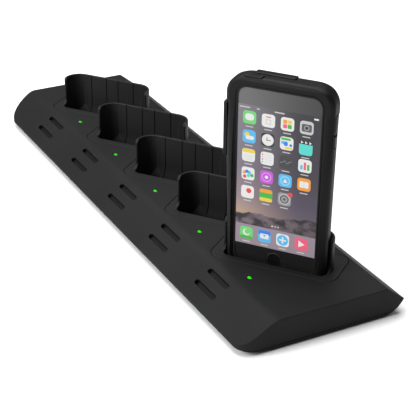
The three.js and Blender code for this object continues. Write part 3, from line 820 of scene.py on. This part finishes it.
def ramp():
    side = [(INNER_Y + 1, FLOOR_Z - 1), (INNER_Y + 1, RAMP_TOP), (INNER_Y, RAMP_TOP),
            (INNER_Y - RAMP_REACH, RAMP_FOOT), (INNER_Y - RAMP_REACH, FLOOR_Z - 1)]
    wide = RAMP_HALF + RAMP_FLARE
    face = [(-wide, FLOOR_Z - 1), (wide, FLOOR_Z - 1), (wide, RAMP_FOOT), (RAMP_HALF, RAMP_TOP),
            (-RAMP_HALF, RAMP_TOP), (-wide, RAMP_FOOT)]
    return keep(drawn_out(side[::-1], -40, 40, "along"), drawn_out(face, -INNER_Y - 2, -INNER_Y + 10, "front"))


def groove_cutters():
    deep = INNER_Y + GROOVE_DEEP
    outline = [(INNER_Y - 2, CRADLE_TOP + 1), (deep, CRADLE_TOP + 1), (deep, RAMP_TOP - 0.4),
               (INNER_Y - RAMP_REACH + 0.7, RAMP_FOOT - 0.4), (INNER_Y - RAMP_REACH - 1, RAMP_FOOT - 0.4),
               (INNER_Y - RAMP_REACH - 1, RAMP_FOOT + 0.7), (INNER_Y - 2, RAMP_TOP + 0.7)]
    return joined(*[drawn_out(outline[::-1], u - GROOVE_W / 2, u + GROOVE_W / 2, "along") for u in GROOVES])


def bay_insert():
    plate = raised(insert_outline, [(z, g - GAP) for z, g in levels(DECK_Z - 2.4, DECK_Z, 0, 0.35, 4)])
    rail = add(brick(-40, 40, -21.5, 21.5, 17.7, DECK_Z - 2.4 - GAP),
               raised(insert_outline, [(DECK_Z - 2.8, -GAP - 1), (DECK_Z - 2.3, -GAP - 1)]))
    tub = cut(raised(cradle_outline(), levels(BASE_Z, CRADLE_TOP, 0, 0.95, 6)), wall_front_cutter())
    cut(tub, wall_nose_cutters())
    pocket = flared(cradle_outline(WALL), FLOOR_Z, CRADLE_TOP, 0.95)
    lip = keep(raised(cradle_outline(WALL), [(DECK_Z - 1, 0), *levels(DECK_Z - 0.9, DECK_Z, 0, -0.6, 4)[1:],
                                             (DECK_Z + 0.4, 0.6)]),
               brick(-60, 60, -30, -WALL_FRONT - 2.5, DECK_Z - 3, DECK_Z + 2))
    part = cut(add(plate, rail, tub), pocket, lip)
    add(part, ramp())
    slot = brick(-12.3, 12.3, -4.5 - 3.8, -4.5 + 3.8, BASE_Z - 1, FLOOR_Z + 1)
    return cut(part, slot, groove_cutters())


insert = bay_insert()
for bay in range(BAYS):
    finish_piece(f"insert_{bay + 1}", copied(insert, in_bay(bay)), "dock", insert_plastic,
                 [f"bay_insert_{bay + 1}"])
bin_object(insert)

# %% [markdown]
# ## Lamps
# A light pipe is a slot-shaped rod of clear plastic whose top is slightly domed, so that it glints. It stands
# over a small lamp on the board. The lamps on the board keep their plain shape and take the lamp finish.

# %% Make the light pipes
pipe = raised(slot_outline(LAMP_L, LAMP_W), [(8.2, -0.1), (8.3, 0)] + levels(9, DECK_Z, 0, 0.8, 6)[1:])
pipes = row(pipe, BAYS, (bay_middles[0][0] + LAMP_DX, LAMP_Y, 0), (PITCH, 0, 0), lamp_green)
finish_piece("light_pipes", pipes, "dock", lamp_green, [f"light_pipe_{bay + 1}" for bay in range(BAYS)])

# %% [markdown]
# ## Contacts
# At the foot of each pocket, five sprung pins reach through a nylon block to meet the pads under the sleeve.
# The pins of a bay share one carriage and move together, so each set is a piece on its own body.

# %% Set the pins
PIN_PITCH, CONTACT_N = 3.5, 4.5
pin_steps = [(8.4, 0), (11.3, 0)] + [(z, g) for z, g in levels(11.3, 12.1, 0, 0.6, 5)][1:]
pins = row(raised(circle(0, 0, 0.75, 20), pin_steps), 5, (-2 * PIN_PITCH, -CONTACT_N, 0), (PIN_PITCH, 0, 0), gold)
carriage = brick(-9.2, 9.2, -CONTACT_N - 1.2, -CONTACT_N + 1.2, 7.9, 9.1, 0.25)
plunger = add(carriage, pins)
for bay in range(BAYS):
    finish_piece(f"contact_pins_{bay + 1}", copied(plunger, in_bay(bay)), f"contact_{bay + 1}", gold,
                 [f"contact_plunger_{bay + 1}"])
bin_object(plunger)

# %% [markdown]
# ## The board and the power socket
# The board lies under the deck. It carries rows of small parts, kept clear of the contact blocks: resistors
# and capacitors of slightly different sizes, set by the spots tree with a fixed seed, and one controller for
# each bay. The socket in the far end takes a round plug: a square housing, a deep bore and a centre pin.

# %% Make the board and the socket
low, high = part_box("main_board")
BOARD_TOP = high[2] / MM
board = raised(bounded(low[0] / MM, high[0] / MM, low[1] / MM, high[1] / MM, 3, 4),
               levels(low[2] / MM, BOARD_TOP, 0.12, 0.12, 2))
cut(board, joined(*[rod(x, y, 3, 7, 1.6, 20) for x in (-196.5, 196.5) for y in (-25, 32.5)]))
finish_piece("board", board, "dock", solder_mask, ["main_board"])

chooser = random.Random(11)
small_spots = [(x + chooser.uniform(-1.5, 1.5), y, BOARD_TOP) for y in (-21.5, -17.5, 20, 26)
               for x in range(-188, 190, 8)]
chip = brick(-1.3, 1.3, -0.7, 0.7, 0, 0.9, 0.12)
small_parts = on_spots(chip, small_spots, nylon, (0.7, 0.8, 0.8), (1.2, 1.1, 1.3))
controllers = row(brick(-4, 4, -3, 3, 0, 1.1, 0.2), BAYS, (bay_middles[0][0] + 4, -12.5, BOARD_TOP), (PITCH, 0, 0))
finish_piece("board_parts", joined(small_parts, controllers), "dock", nylon)

face_x, back_x = (corner[0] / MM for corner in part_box("power_inlet"))
socket_outline = around(INLET_Y, INLET_Z, INLET_W, INLET_H, 1.2, 4)
socket_body = raised(socket_outline, levels(face_x, back_x, 0.5, 0.3, 3), "along")
bore_steps = [(face_x - 1, 0.5), (face_x, 0.5), (face_x + 0.5, 0), (face_x + 11, 0)]
bore = raised(circle(INLET_Y, INLET_Z, 3.2, 40), bore_steps, "along")
centre_pin = raised(circle(INLET_Y, INLET_Z, 1.1, 24), levels(face_x + 0.8, face_x + 12, 0.6, 0, 4), "along")
finish_piece("power_socket", add(cut(socket_body, bore), centre_pin), "dock", nylon, ["power_inlet"])

# %% [markdown]
# ## The handset's sleeve
# The sleeve is a stiff, satin shell in two parts. The lower part is a tube with soft corners that widens a
# little upwards, open at the front to show the screen. Its window edge is rounded over. The cap closes the top
# with a broad rounded shoulder, and holds a key on the left and a tinted window towards the back.

# %% Shapes shared by sleeve and phone
SLED_LEFT, SLED_RIGHT, FOOT_LEFT, FOOT_RIGHT, SLED_FRONT, SLED_BACK = 39.1, 38.2, 35.6, 37.2, 13.3, -3.0
CAP_LEFT, CAP_RIGHT, CAP_FRONT, CAP_BACK, CAP_TOP = 38.6, 37.8, 11.8, -5.0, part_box("sled_cap")[1][2] / MM
SLED_FOOT, SLED_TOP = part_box("sled_sleeve")[0][2] / MM, 138.0
PHONE_HALF, PHONE_FOOT, PHONE_TOP, PHONE_R = 33.55, 15.9, 154.1, 9.5
PHONE_BACK, PHONE_FACE, GLASS = 3.8, 10.9, 0.8
HOME_Z, HOME_R = 24.3, 5.8
SIDE_KEY_N, SIDE_KEY_Z, SIDE_KEY_FACE = 8.0, 120.4, 38.05


def sleeve_ring(z, grow):
    """The sleeve's outline at a height: it widens upwards, the left wall more than the right."""
    rise = (z - SLED_FOOT) / (SLED_TOP - SLED_FOOT)
    left = FOOT_LEFT + (SLED_LEFT - FOOT_LEFT) * rise
    right = FOOT_RIGHT + (SLED_RIGHT - FOOT_RIGHT) * rise
    front = SLED_FRONT - (SLED_FRONT - CAP_FRONT) * min(max((z - 92) / 44, 0), 1) ** 1.5
    return rounded(-left, right, -front, -SLED_BACK, [5.5, 5.5, 8, 9], grow, 8)


phone_outline = bounded(-PHONE_HALF, PHONE_HALF, PHONE_FOOT, PHONE_TOP, PHONE_R, 12)
window_outline = bounded(-30.7, 30.7, 18, 150.6, 8, 12)


def phone_room():
    return raised(phone_outline, [(PHONE_BACK - GAP, GAP), (PHONE_FACE + GAP, GAP)], "front")


def window_cutter():
    steps = levels(PHONE_FACE - 0.05, CAP_FRONT, 0, -1.0, 4) + [(SLED_FRONT, 1.7), (SLED_FRONT + 4, 1.7)]
    return raised(window_outline, steps, "front")


def side_slot(front, back, low, high, radius, u0, u1):
    """A slot with rounded corners in one of the sleeve's side walls."""
    return drawn_out(bounded(-front, -back, low, high, radius, 5)(0), u0, u1, "along")


rises = levels(SLED_FOOT, SLED_TOP - 0.01, 0.9, 0, 4)
rises[-1:-1] = [(92 + 4 * i, 0.0) for i in range(12)]
sleeve = solid([(z, sleeve_ring(z, grow)) for z, grow in rises])
key_room = side_slot(SIDE_KEY_N + 2.6, SIDE_KEY_N - 2.6, SIDE_KEY_Z - 4.5, SIDE_KEY_Z + 4.5, 1.2, 35.95, 41)
key_dish = side_slot(SIDE_KEY_N + 3.4, SIDE_KEY_N - 3.4, SIDE_KEY_Z - 5.6, SIDE_KEY_Z + 5.6, 2.0, 37.75, 41)
trigger_room = side_slot(11.3, 3.7, 96.7, 136.8, 1.8, -50, -36.2)
battery_room = brick(-25, 25, -PHONE_BACK - 0.1, 1.2, 34, 112)
cut(sleeve, phone_room(), window_cutter(), battery_room, key_room, key_dish,
    trigger_room)


def on_handset(name, thing, material, nodes=(), body="handset", crease=34):
    return finish_piece(name, moved(thing, in_bay(BAYS - 1)), body, material, nodes, crease)


on_handset("sleeve", sleeve, sled_plastic, ["sled_sleeve"])

# %% Make the cap
CAP_CORNER_R, CAP_EDGE_R = 13.0, 4.0
TOP_KEY_U, TOP_KEY_N, TOP_KEY_W, TOP_KEY_D = -20.0, 7.2, 13.0, 5.0
SCAN_U, SCAN_N, SCAN_W, SCAN_D = -7.2, -0.4, 29.0, 6.0


def drawn_in(z, radius):
    """How far a rounded top edge has drawn in at a height."""
    rise_in = max(z - (CAP_TOP - radius), 0)
    return radius - math.sqrt(max(radius ** 2 - rise_in ** 2, 0))


def cap_ring(z, grow=0.0):
    side, edge = drawn_in(z, CAP_CORNER_R), drawn_in(z, CAP_EDGE_R)
    front_r = min(3.5 + edge * 0.9, 6)
    return rounded(-CAP_LEFT + side, CAP_RIGHT - side, -CAP_FRONT + edge, -CAP_BACK - edge,
                   [front_r, front_r, 7, 7], grow, 10)


cap_foot = SLED_TOP + 0.01
cap_heights = [cap_foot + 0.3, CAP_TOP - CAP_CORNER_R] + [
    CAP_TOP - CAP_CORNER_R * (1 - math.sin(math.radians(a))) for a in range(6, 91, 6)] + [
    CAP_TOP - CAP_EDGE_R * (1 - math.sin(math.radians(a))) for a in range(0, 90, 12)]
cap = solid([(cap_foot, cap_ring(cap_foot))] + [(z, cap_ring(z)) for z in sorted(set(cap_heights))])
seat_outline = around(SCAN_U, -SCAN_N, SCAN_W + 2 * GAP, SCAN_D + 2 * GAP, 1.3, 5)
key_outline = around(TOP_KEY_U, -TOP_KEY_N, TOP_KEY_W + 2 * GAP, TOP_KEY_D + 2 * GAP, 1.5, 5)
cut(cap, phone_room(), window_cutter(), flared(seat_outline, CAP_TOP - 1.3, CAP_TOP, 0.35),
    flared(key_outline, CAP_TOP - 1.6, CAP_TOP, 0.6))
on_handset("sleeve_cap", cap, cap_plastic, ["sled_cap"])

# %% [markdown]
# ## Keys and window
# The keys are small rubbery pads with soft edges. The top key has five raised ribs, made as a row, so that a
# finger finds it; the side key is plain, and the trigger on the left wall is one long pad. The tinted window
# at the top rear is a satin lens.

# %% Make the keys and the window
key_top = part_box("top_key")[1][2] / MM
pad = raised(around(TOP_KEY_U, -TOP_KEY_N, TOP_KEY_W, TOP_KEY_D, 1.2, 6),
             levels(key_top - 1.3, key_top - 0.25, 0, 0.45, 4))
ridge = brick(-0.35, 0.35, -1.5, 1.5, key_top - 0.7, key_top, 0.2)
ridges = row(ridge, 5, (TOP_KEY_U - 3.2, -TOP_KEY_N, 0), (1.6, 0, 0), key_plastic)
on_handset("power_key", add(pad, ridges), key_plastic, ["top_key"], "top_key")

side_outline = around(-SIDE_KEY_N, SIDE_KEY_Z, 4.6, 8.4, 1.1, 6)
on_handset("volume_key", raised(side_outline, levels(SIDE_KEY_FACE - 1, SIDE_KEY_FACE + 0.7, 0, 0.6, 5), "along"),
           key_plastic, ["side_key"], "side_key")

trigger_steps = [(-40, -0.7), (-39.85, -0.35), (-39.6, -0.1), (-39.3, 0), (-37.4, 0)]
on_handset("trigger_pad", raised(bounded(-11, -4, 97, 136.5, 1.5, 6), trigger_steps, "along"),
           sled_plastic, ["trigger_key"], "trigger_key")

scan_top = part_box("scanner_window")[1][2] / MM
lens = raised(around(SCAN_U, -SCAN_N, SCAN_W, SCAN_D, 1, 5), levels(CAP_TOP - 1, scan_top, 0, 0.5, 4))
on_handset("scanner_lens", lens, scanner_tint, ["scanner_window"])

# %% [markdown]
# ## The phone
# Inside the sleeve is a slim handset: a blasted alloy body with a glass front. The glass is black around the
# picture, with a soft, slanting sheen painted into its colour above it: a painted reflection. The round key in the
# chin sits in a shallow dish with a thin metal ring, and a dark rubber ring round the edge of the sleeve's window
# stands for the shadow gap there: painted shade.

# %% Glass finishes
glass = Finish("front glass", IOR=1.5, Specular_IOR_Level=0.3)
spot = glass.node("ShaderNodeSeparateXYZ", {}, {"Vector": glass.node("ShaderNodeUVMap", {"uv_map": "face"})})
across, height = spot, Wire(glass, spot.socket.node.outputs[1])
# Painted reflection: a soft, slanting sheen is painted into the base colour of the glass above the picture,
# lighter at the left and ending on a diagonal towards the lower right.
painted_sheen_band = (height > 0.5) * ((across + 2.1 * (height - 1.0)) < 0.88)
painted_sheen = painted_sheen_band * across.over(-0.1, 1.05, 1.0, 0.2)
dust = glass.noise(240, 4)
# The dark glass colour is raised a little above black to stand for the reflection seen on the chin, so it is a
# painted reflection too.
glass.set({"Base Color": glass.mix(painted_sheen, (0.013, 0.013, 0.0135), (0.115, 0.112, 0.115)),
           "Roughness": dust.over(0.3, 0.75, 0.06, 0.16)})
glass.bump(dust, 0.002, 0.2)

ring_metal = plated("key ring metal", (0.09, 0.09, 0.093), (0.15, 0.15, 0.155), 0.4)

# %% Make the phone, its glass and its key


def key_dish_cutter(radius, deep):
    """A round hole from the glass inwards at the key."""
    return raised(circle(0, HOME_Z, radius, 64), [(PHONE_FACE - deep, 0), (PHONE_FACE - 0.15, 0),
                                                   (PHONE_FACE, 0.15), (PHONE_FACE + 2, 0.15)], "front")


shell = cut(raised(phone_outline, levels(PHONE_BACK, PHONE_FACE - GLASS - GAP, 1.6, 0.4, 5), "front"),
            key_dish_cutter(HOME_R + GAP, 2))
on_handset("phone_shell", shell, alloy, ["phone_body"])

pane = raised(lambda grow: phone_outline(grow - 0.2), levels(PHONE_FACE - GLASS, PHONE_FACE, 0.1, 0.25, 3),
              "front")
cut(pane, key_dish_cutter(HOME_R + GAP, 2))


def lay_uv(thing, u0, u1, z0, z1):
    """A flat map over the handset's face: 0..1 across and 0..1 up, drawn before the piece is placed."""
    layer = thing.data.uv_layers.new(name="face")
    for loop in thing.data.loops:
        x, _, z = thing.data.vertices[loop.vertex_index].co
        layer.data[loop.index].uv = ((x - u0) / (u1 - u0), (z - z0) / (z1 - z0))


lay_uv(pane, -PHONE_HALF, PHONE_HALF, PHONE_FOOT, PHONE_TOP)
on_handset("front_glass", pane, glass.material, ["phone_display"])

dish = [(PHONE_FACE - 1.5, 0), (PHONE_FACE - 0.35, 0), (PHONE_FACE - 0.12, -0.12), (PHONE_FACE - 0.1, -0.9),
        (PHONE_FACE - 0.3, -1.15), (PHONE_FACE - 0.42, -2.6), (PHONE_FACE - 0.48, -4.6)]
key = raised(circle(0, HOME_Z, HOME_R, 64), dish, "front")
on_handset("home_key", key, scanner_tint, ["home_button"], "home_button", 50)
# Painted shade: a thin dark rubber ring round the inside edge of the sleeve's window stands for the shadow gap
# between glass and sleeve.
painted_shadow_ring = raised(lambda grow: window_outline(grow - 0.15), levels(PHONE_FACE + 0.01, PHONE_FACE + 0.6, 0, 0.15, 2),
                "front")
cut(painted_shadow_ring, raised(lambda grow: window_outline(grow - 1.25), levels(PHONE_FACE - 1, PHONE_FACE + 2), "front"))
on_handset("window_gasket", painted_shadow_ring, rubber)
hoop = raised(circle(0, HOME_Z, HOME_R - 0.06, 64), levels(PHONE_FACE - 0.3, PHONE_FACE - 0.04, 0, 0.1, 3),
              "front")
cut(hoop, raised(circle(0, HOME_Z, HOME_R - 0.75, 64), [(PHONE_FACE - 1, 0), (PHONE_FACE + 1, 0)], "front"))
on_handset("home_key_ring", hoop, ring_metal, (), "home_button")

# %% [markdown]
# ## The lit screen
# The picture is a dusk sky over low hills, with rows of plain coloured tiles. The sky is one thin pane with a
# finish that follows its own map. The tiles are thin slabs laid over it, with simple marks on top: discs,
# rings, bars and wedges. Each slab carries its colour as an attribute, so one finish serves them all.

# %% Sky and tile finishes
SCREEN_HALF, SCREEN_FOOT, SCREEN_TOP = 29.25, 33.0, 137.0
GLOW = 0.82

sky = Finish("lit sky", Emission_Strength=GLOW, Roughness=0.3, Specular_IOR_Level=0.15)
spot = sky.node("ShaderNodeSeparateXYZ", {}, {"Vector": sky.node("ShaderNodeUVMap", {"uv_map": "face"})})
across, height = spot, Wire(sky, spot.socket.node.outputs[1])
wave = sky.noise(48, 5)
dusk_left = sky.node("ShaderNodeValToRGB", {"stops": [
    (0.0, (0.29, 0.235, 0.27)), (0.17, (0.46, 0.33, 0.26)), (0.24, (0.52, 0.36, 0.27)), (0.34, (0.36, 0.27, 0.29)),
    (0.55, (0.24, 0.21, 0.26)), (1.0, (0.25, 0.24, 0.27))]}, {"Fac": height})
dusk_right = sky.node("ShaderNodeValToRGB", {"stops": [
    (0.0, (0.18, 0.15, 0.18)), (0.17, (0.155, 0.125, 0.155)), (0.24, (0.13, 0.105, 0.14)),
    (0.34, (0.095, 0.078, 0.115)), (0.55, (0.060, 0.054, 0.072)), (1.0, (0.045, 0.044, 0.050))]}, {"Fac": height})
air = sky.mix(across.over(-0.15, 0.85), dusk_left, dusk_right)
crest = 0.24 + 0.13 * (wave - 0.5) + 0.04 * (across - 0.5)
hill = (height - crest).over(-0.004, 0.004, 1.0, 0.0)
rock = sky.noise(110, 6, (1, 1, 1.6))
slate = rock.over(0.38, 0.6) * (1.0 - 0.45 * across)
ground = sky.mix(slate, (0.035, 0.030, 0.036), (0.20, 0.158, 0.178))
land = sky.mix(hill, air, ground)
picture = sky.mix((height - 0.146).over(-0.002, 0.002, 1.0, 0.0), land, (0.325, 0.265, 0.315))
sky.set({"Emission Color": picture, "Base Color": sky.mix(0.9, picture, (0.01, 0.01, 0.01))})

ink = Finish("lit tiles", Emission_Strength=GLOW, Roughness=0.3, Specular_IOR_Level=0.15)
paint = ink.node("ShaderNodeVertexColor", {"layer_name": "ink"})
shade = ink.noise(2600, 1).over(0.2, 0.8)
ink.set({"Emission Color": ink.mix(shade * 0.08, paint, (0.5, 0.5, 0.5)),
         "Base Color": ink.mix(0.92, paint, (0.01, 0.01, 0.01))})

# %% Lay the sky pane
SHEET = 0.02
sky_pane = raised(bounded(-SCREEN_HALF, SCREEN_HALF, SCREEN_FOOT, SCREEN_TOP, 0.1, 2),
                  [(PHONE_FACE + 0.001, 0), (PHONE_FACE + SHEET, 0)], "front")
lay_uv(sky_pane, -SCREEN_HALF, SCREEN_HALF, SCREEN_FOOT, SCREEN_TOP)
on_handset("screen_sky", sky_pane, sky.material)

# %% Colours and marks
WHITE, PALE, GREY = (0.86, 0.86, 0.85), (0.62, 0.61, 0.62), (0.33, 0.33, 0.34)
SLATE, COAL, INK = (0.10, 0.10, 0.11), (0.05, 0.05, 0.055), (0.02, 0.02, 0.02)
GREEN, LEAF, TEAL = (0.18, 0.70, 0.20), (0.05, 0.50, 0.06), (0.10, 0.72, 0.66)
SKY, BLUE, HAZE = (0.10, 0.52, 0.90), (0.03, 0.22, 0.85), (0.45, 0.74, 0.95)
YELLOW, ORANGE, RED = (0.90, 0.66, 0.06), (0.95, 0.36, 0.03), (0.85, 0.06, 0.05)
PINK, VIOLET, LILAC = (0.92, 0.12, 0.22), (0.60, 0.10, 0.72), (0.80, 0.42, 0.88)
TILE, TILE_R, LABEL_DROP = 9.4, 2.1, 6.6
COLUMNS, ROWS, FOOT_ROW = (-21.0, -7.6, 5.8, 19.2), (128.0, 114.2, 100.5, 86.8, 73.0), 41.5
UPWARDS, DOWNWARDS = math.pi / 2, -math.pi / 2
slabs = []


def slab(points, layer, colour):
    """One thin slab of colour, laid on the given layer above the sky."""
    low = PHONE_FACE + SHEET * (1 + layer) + 0.001
    slabs.append((solid([(low, points), (low + SHEET * 0.9, points)], "front"), colour))


def bar(u, z, width, tall, colour, layer=2, radius=0.3):
    slab(around(u, z, width, tall, radius, 4)(0), layer, colour)


def disc(u, z, radius, colour, layer=2):
    slab(circle(u, z, radius, 28)(0), layer, colour)


def wedge_mark(u, z, size, colour, layer=2, turn=0.0):
    angles = [turn + math.tau * i / 3 for i in range(3)]
    slab([(u + size * math.cos(a), z + size * math.sin(a)) for a in angles], layer, colour)


def tile(column, z, colour, *marks):
    """A tile with its label, and its marks as (drawing function, across, up, and what that function takes)."""
    u = COLUMNS[column]
    bar(u, z, TILE, TILE, colour, 1, TILE_R)
    bar(u, z - LABEL_DROP, 5.6, 0.7, PALE, 1)
    for draw, across, up, *rest in marks:
        draw(u + across, z + up, *rest)


# %% Tiles by row
z = ROWS[0]
tile(0, z, GREEN, (bar, 0, 0.3, 6.4, 4.8, WHITE, 2, 2.2))
tile(1, z, WHITE, (bar, 0, 2.6, 3.6, 0.7, RED), (bar, 0, -0.8, 3.8, 3.4, PALE), (bar, 0, -0.8, 2.8, 2.4, WHITE, 3))
tile(2, z, WHITE, *[(bar, 1.6 * a, 1.6 * b, 2.8, 2.8, colour, 2, 0.5) for a, b, colour in (
    (-1, 1, ORANGE), (1, 1, YELLOW), (-1, -1, PINK), (1, -1, LEAF))])
tile(3, z, PALE, (bar, 0, -0.2, 7.0, 5.4, SLATE, 2, 1.0), (disc, 0, -0.2, 1.9, GREY, 3),
     (disc, 0, -0.2, 1.1, INK, 4))

z = ROWS[1]
tile(0, z, SKY, (disc, -1.5, 1.2, 1.8, YELLOW), (bar, 0.6, -0.8, 6.0, 2.8, WHITE, 3, 1.3))
tile(1, z, INK, (disc, 0, 0, 4.2, WHITE), (bar, -0.6, 0.6, 0.5, 3.0, SLATE, 3, 0.1),
     (bar, 0.9, -0.2, 2.6, 0.5, SLATE, 4, 0.1))
tile(2, z, WHITE, (bar, -0.6, 3.1, 6.6, 1.6, LEAF), (bar, -1.6, 0.4, 4.6, 2.2, SKY),
     (disc, -0.6, -0.4, 1.5, BLUE, 3),
     (bar, 1.4, -3.2, 5.0, 1.6, YELLOW), (disc, 2.9, -0.9, 1.0, BLUE, 3))
tile(3, z - 1.2, TEAL, (bar, 0, 4.4, 9.2, 2.6, INK, 3, 0.4),
     *[(wedge_mark, 2.9 * i, 4.4, 1.15, WHITE, 4) for i in (-1, 0, 1)])

z = ROWS[2]
ruled = [(bar, 0, -0.2 - 1.5 * i, 7.0, 0.25, PALE) for i in range(3)]
tile(0, z, WHITE, (bar, 0, 3.2, 9.2, 2.7, YELLOW, 2, 1.2), *ruled)
dots = [(disc, -3.3, 2.7 - 1.8 * i, 0.5, colour) for i, colour in enumerate((RED, ORANGE, BLUE, LEAF))]
tile(1, z, WHITE, *dots, *[(bar, 0.8, 2.7 - 1.8 * i, 5.6, 0.25, PALE) for i in range(4)])
tile(2, z, COAL, *[(wedge_mark, 1.35 * i - 3.4, 0.7 * (i % 3) - 0.6, 0.62, GREY, 2, UPWARDS) for i in range(6)])
tile(3, z, WHITE, *[(bar, 2.4 * i, tall / 2 - 3, 1.7, tall, colour, 2, 0.5) for i, tall, colour in (
    (-1, 3.4, SKY), (0, 5.6, PINK), (1, 4.4, LEAF))])

z = ROWS[3]
tile(0, z, WHITE, *[(disc, across, up, 1.25, colour, layer) for across, up, colour, layer in (
    (-2.7, 0.6, ORANGE, 2), (-0.9, 1.5, BLUE, 3), (0.9, 0.9, SKY, 2), (2.8, -1.0, LEAF, 3), (-2.4, -2.4, RED, 2),
    (0.3, -1.5, TEAL, 3))])
tile(1, z, VIOLET, (disc, 0, 0, 3.4, LILAC), (disc, 0, 0, 2.9, VIOLET, 3), (disc, 0, 0, 1.2, WHITE, 4))
tile(2, z, SKY, (disc, 0, 0, 3.4, HAZE), (disc, 0, 0, 2.8, SKY, 3), (wedge_mark, 0, -0.3, 1.9, WHITE, 4, UPWARDS))
tile(3, z, ORANGE, (bar, 0, -0.1, 6.4, 4.6, WHITE, 2, 0.6), (bar, 0, -0.1, 0.3, 4.4, PALE, 3, 0.1))

z = ROWS[4]
tile(0, z, WHITE, (disc, 0.9, 1.0, 1.9, RED))
tile(1, z, LEAF, (bar, 0, 3.2, 9.2, 2.7, ORANGE, 2, 1.2), (bar, 0, -3.2, 9.2, 2.7, YELLOW, 2, 1.2))
tile(2, z, GREY, (disc, 0, 0, 3.9, PALE), (disc, 0, 0, 3.3, SLATE, 3), (disc, 0, 0, 2.3, GREY, 4),
     (disc, 0, 0, 1.0, SLATE, 5), (disc, 4.1, 4.1, 1.7, RED, 3))

z = FOOT_ROW
tile(0, z, GREEN, (bar, 0, -3.5, 9.2, 2.2, LEAF, 2, 1.0), (disc, 0, 0.4, 2.6, WHITE, 3),
     (disc, 0.6, 0.9, 2.0, GREEN, 4))
tile(1, z, SKY, (bar, 0, 2.6, 9.2, 3.8, BLUE, 2, 1.8), (bar, 0, 0, 6.4, 3.8, WHITE, 3, 0.9),
     (wedge_mark, 0, 0.5, 1.3, SKY, 4, DOWNWARDS))
tile(2, z, WHITE, (disc, 0, 0, 4.0, SKY), (bar, 0, 0, 5.2, 1.1, WHITE, 3, 0.5),
     (bar, 0, 0, 1.1, 5.2, WHITE, 4, 0.5))
tile(3, z, PINK, (wedge_mark, -0.4, 0, 3.0, WHITE))

for across, colour in ((-2.2, WHITE), (0, PALE), (2.2, PALE)):
    disc(across, 50.6, 0.55, colour, 1)
for across, width, tall, colour in ((-24.5, 7.5, 0.8, PALE), (-15.0, 2.2, 0.8, PALE), (0, 7.0, 0.9, PALE),
                                    (25.6, 3.2, 1.2, WHITE)):
    bar(across, 135.0, width, tall, colour, 1)

# %% Join the slabs and colour them
board_of_tiles = bmesh.new()
layer = board_of_tiles.verts.layers.float_color.new("ink")
for thing, colour in slabs:
    first = len(board_of_tiles.verts)
    board_of_tiles.from_mesh(thing.data)
    board_of_tiles.verts.ensure_lookup_table()
    for vert in board_of_tiles.verts[first:]:
        vert[layer] = (*colour, 1)
    bin_object(thing)
tiles_mesh = bpy.data.meshes.new("screen_tiles")
board_of_tiles.to_mesh(tiles_mesh)
board_of_tiles.free()
tiles = bpy.data.objects.new("screen_tiles", tiles_mesh)
bpy.context.scene.collection.objects.link(tiles)
moved(tiles, Matrix.Scale(MM, 4) @ in_bay(BAYS - 1))
tiles_mesh.materials.append(ink.material)
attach(tiles, "handset")
print("slabs on the screen:", len(slabs))

# %% [markdown]
# ## Pieces that keep their plain shape
# The blocks, springs, board lamps and the battery are out of sight inside, and their plain solids are already
# right. They keep their shape and only take a finish.

# %% Give finishes to the plain solids
PLAIN = {"contact_block": nylon, "contact_spring": spring_steel, "status_led": led_green,
         "handset_battery": battery_wrap}
for name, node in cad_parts.items():
    for start, material in PLAIN.items():
        if name.startswith(start):
            for place in node.material_slots:
                place.material = material
print("plain solids finished:", [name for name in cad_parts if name.startswith(tuple(PLAIN))])

# %% [markdown]
# ## Floor, light and air
# A pale floor and a dim white surround. One broad lamp overhead, a little to the left, lights the deck, and one
# from the front lights the slope and the insides of the pockets. The end face gets only what the floor returns.

# %% Set the studio
world = bpy.data.worlds.new("studio")
world.use_nodes = True
world.node_tree.nodes["Background"].inputs[0].default_value = (1, 1, 1, 1)
world.node_tree.nodes["Background"].inputs[1].default_value = 0.2
bpy.context.scene.world = world
bpy.context.scene.view_settings.view_transform = "Standard"

floor_mesh = bpy.data.meshes.new("floor")
floor_mesh.from_pydata([(-8, -8, 0), (8, -8, 0), (8, 8, 0), (-8, 8, 0)], [], [(0, 1, 2, 3)])
floor = bpy.data.objects.new("floor", floor_mesh)
bpy.context.scene.collection.objects.link(floor)
paper = Finish("pale floor", Roughness=0.9, Specular_IOR_Level=0.1)
pulp = paper.noise(40, 3)
paper.set({"Base Color": paper.mix(pulp, (0.93, 0.93, 0.93), (0.96, 0.96, 0.96))})
floor_mesh.materials.append(paper.material)


def lamp(name, place, target, size, power):
    light = bpy.data.lights.new(name, "AREA")
    light.shape, light.size, light.energy = "SQUARE", size, power
    holder = bpy.data.objects.new(name, light)
    aim = Vector(target) - Vector(place)
    holder.matrix_world = Matrix.Translation(place) @ aim.to_track_quat("-Z", "Y").to_matrix().to_4x4()
    bpy.context.scene.collection.objects.link(holder)


lamp("overhead", (-0.4, 0.0, 1.55), (0, 0, 0), 1.5, 36)
lamp("front", (0.0, -1.6, 1.0), (0, 0, 0.03), 1.0, 34)
print("studio set")
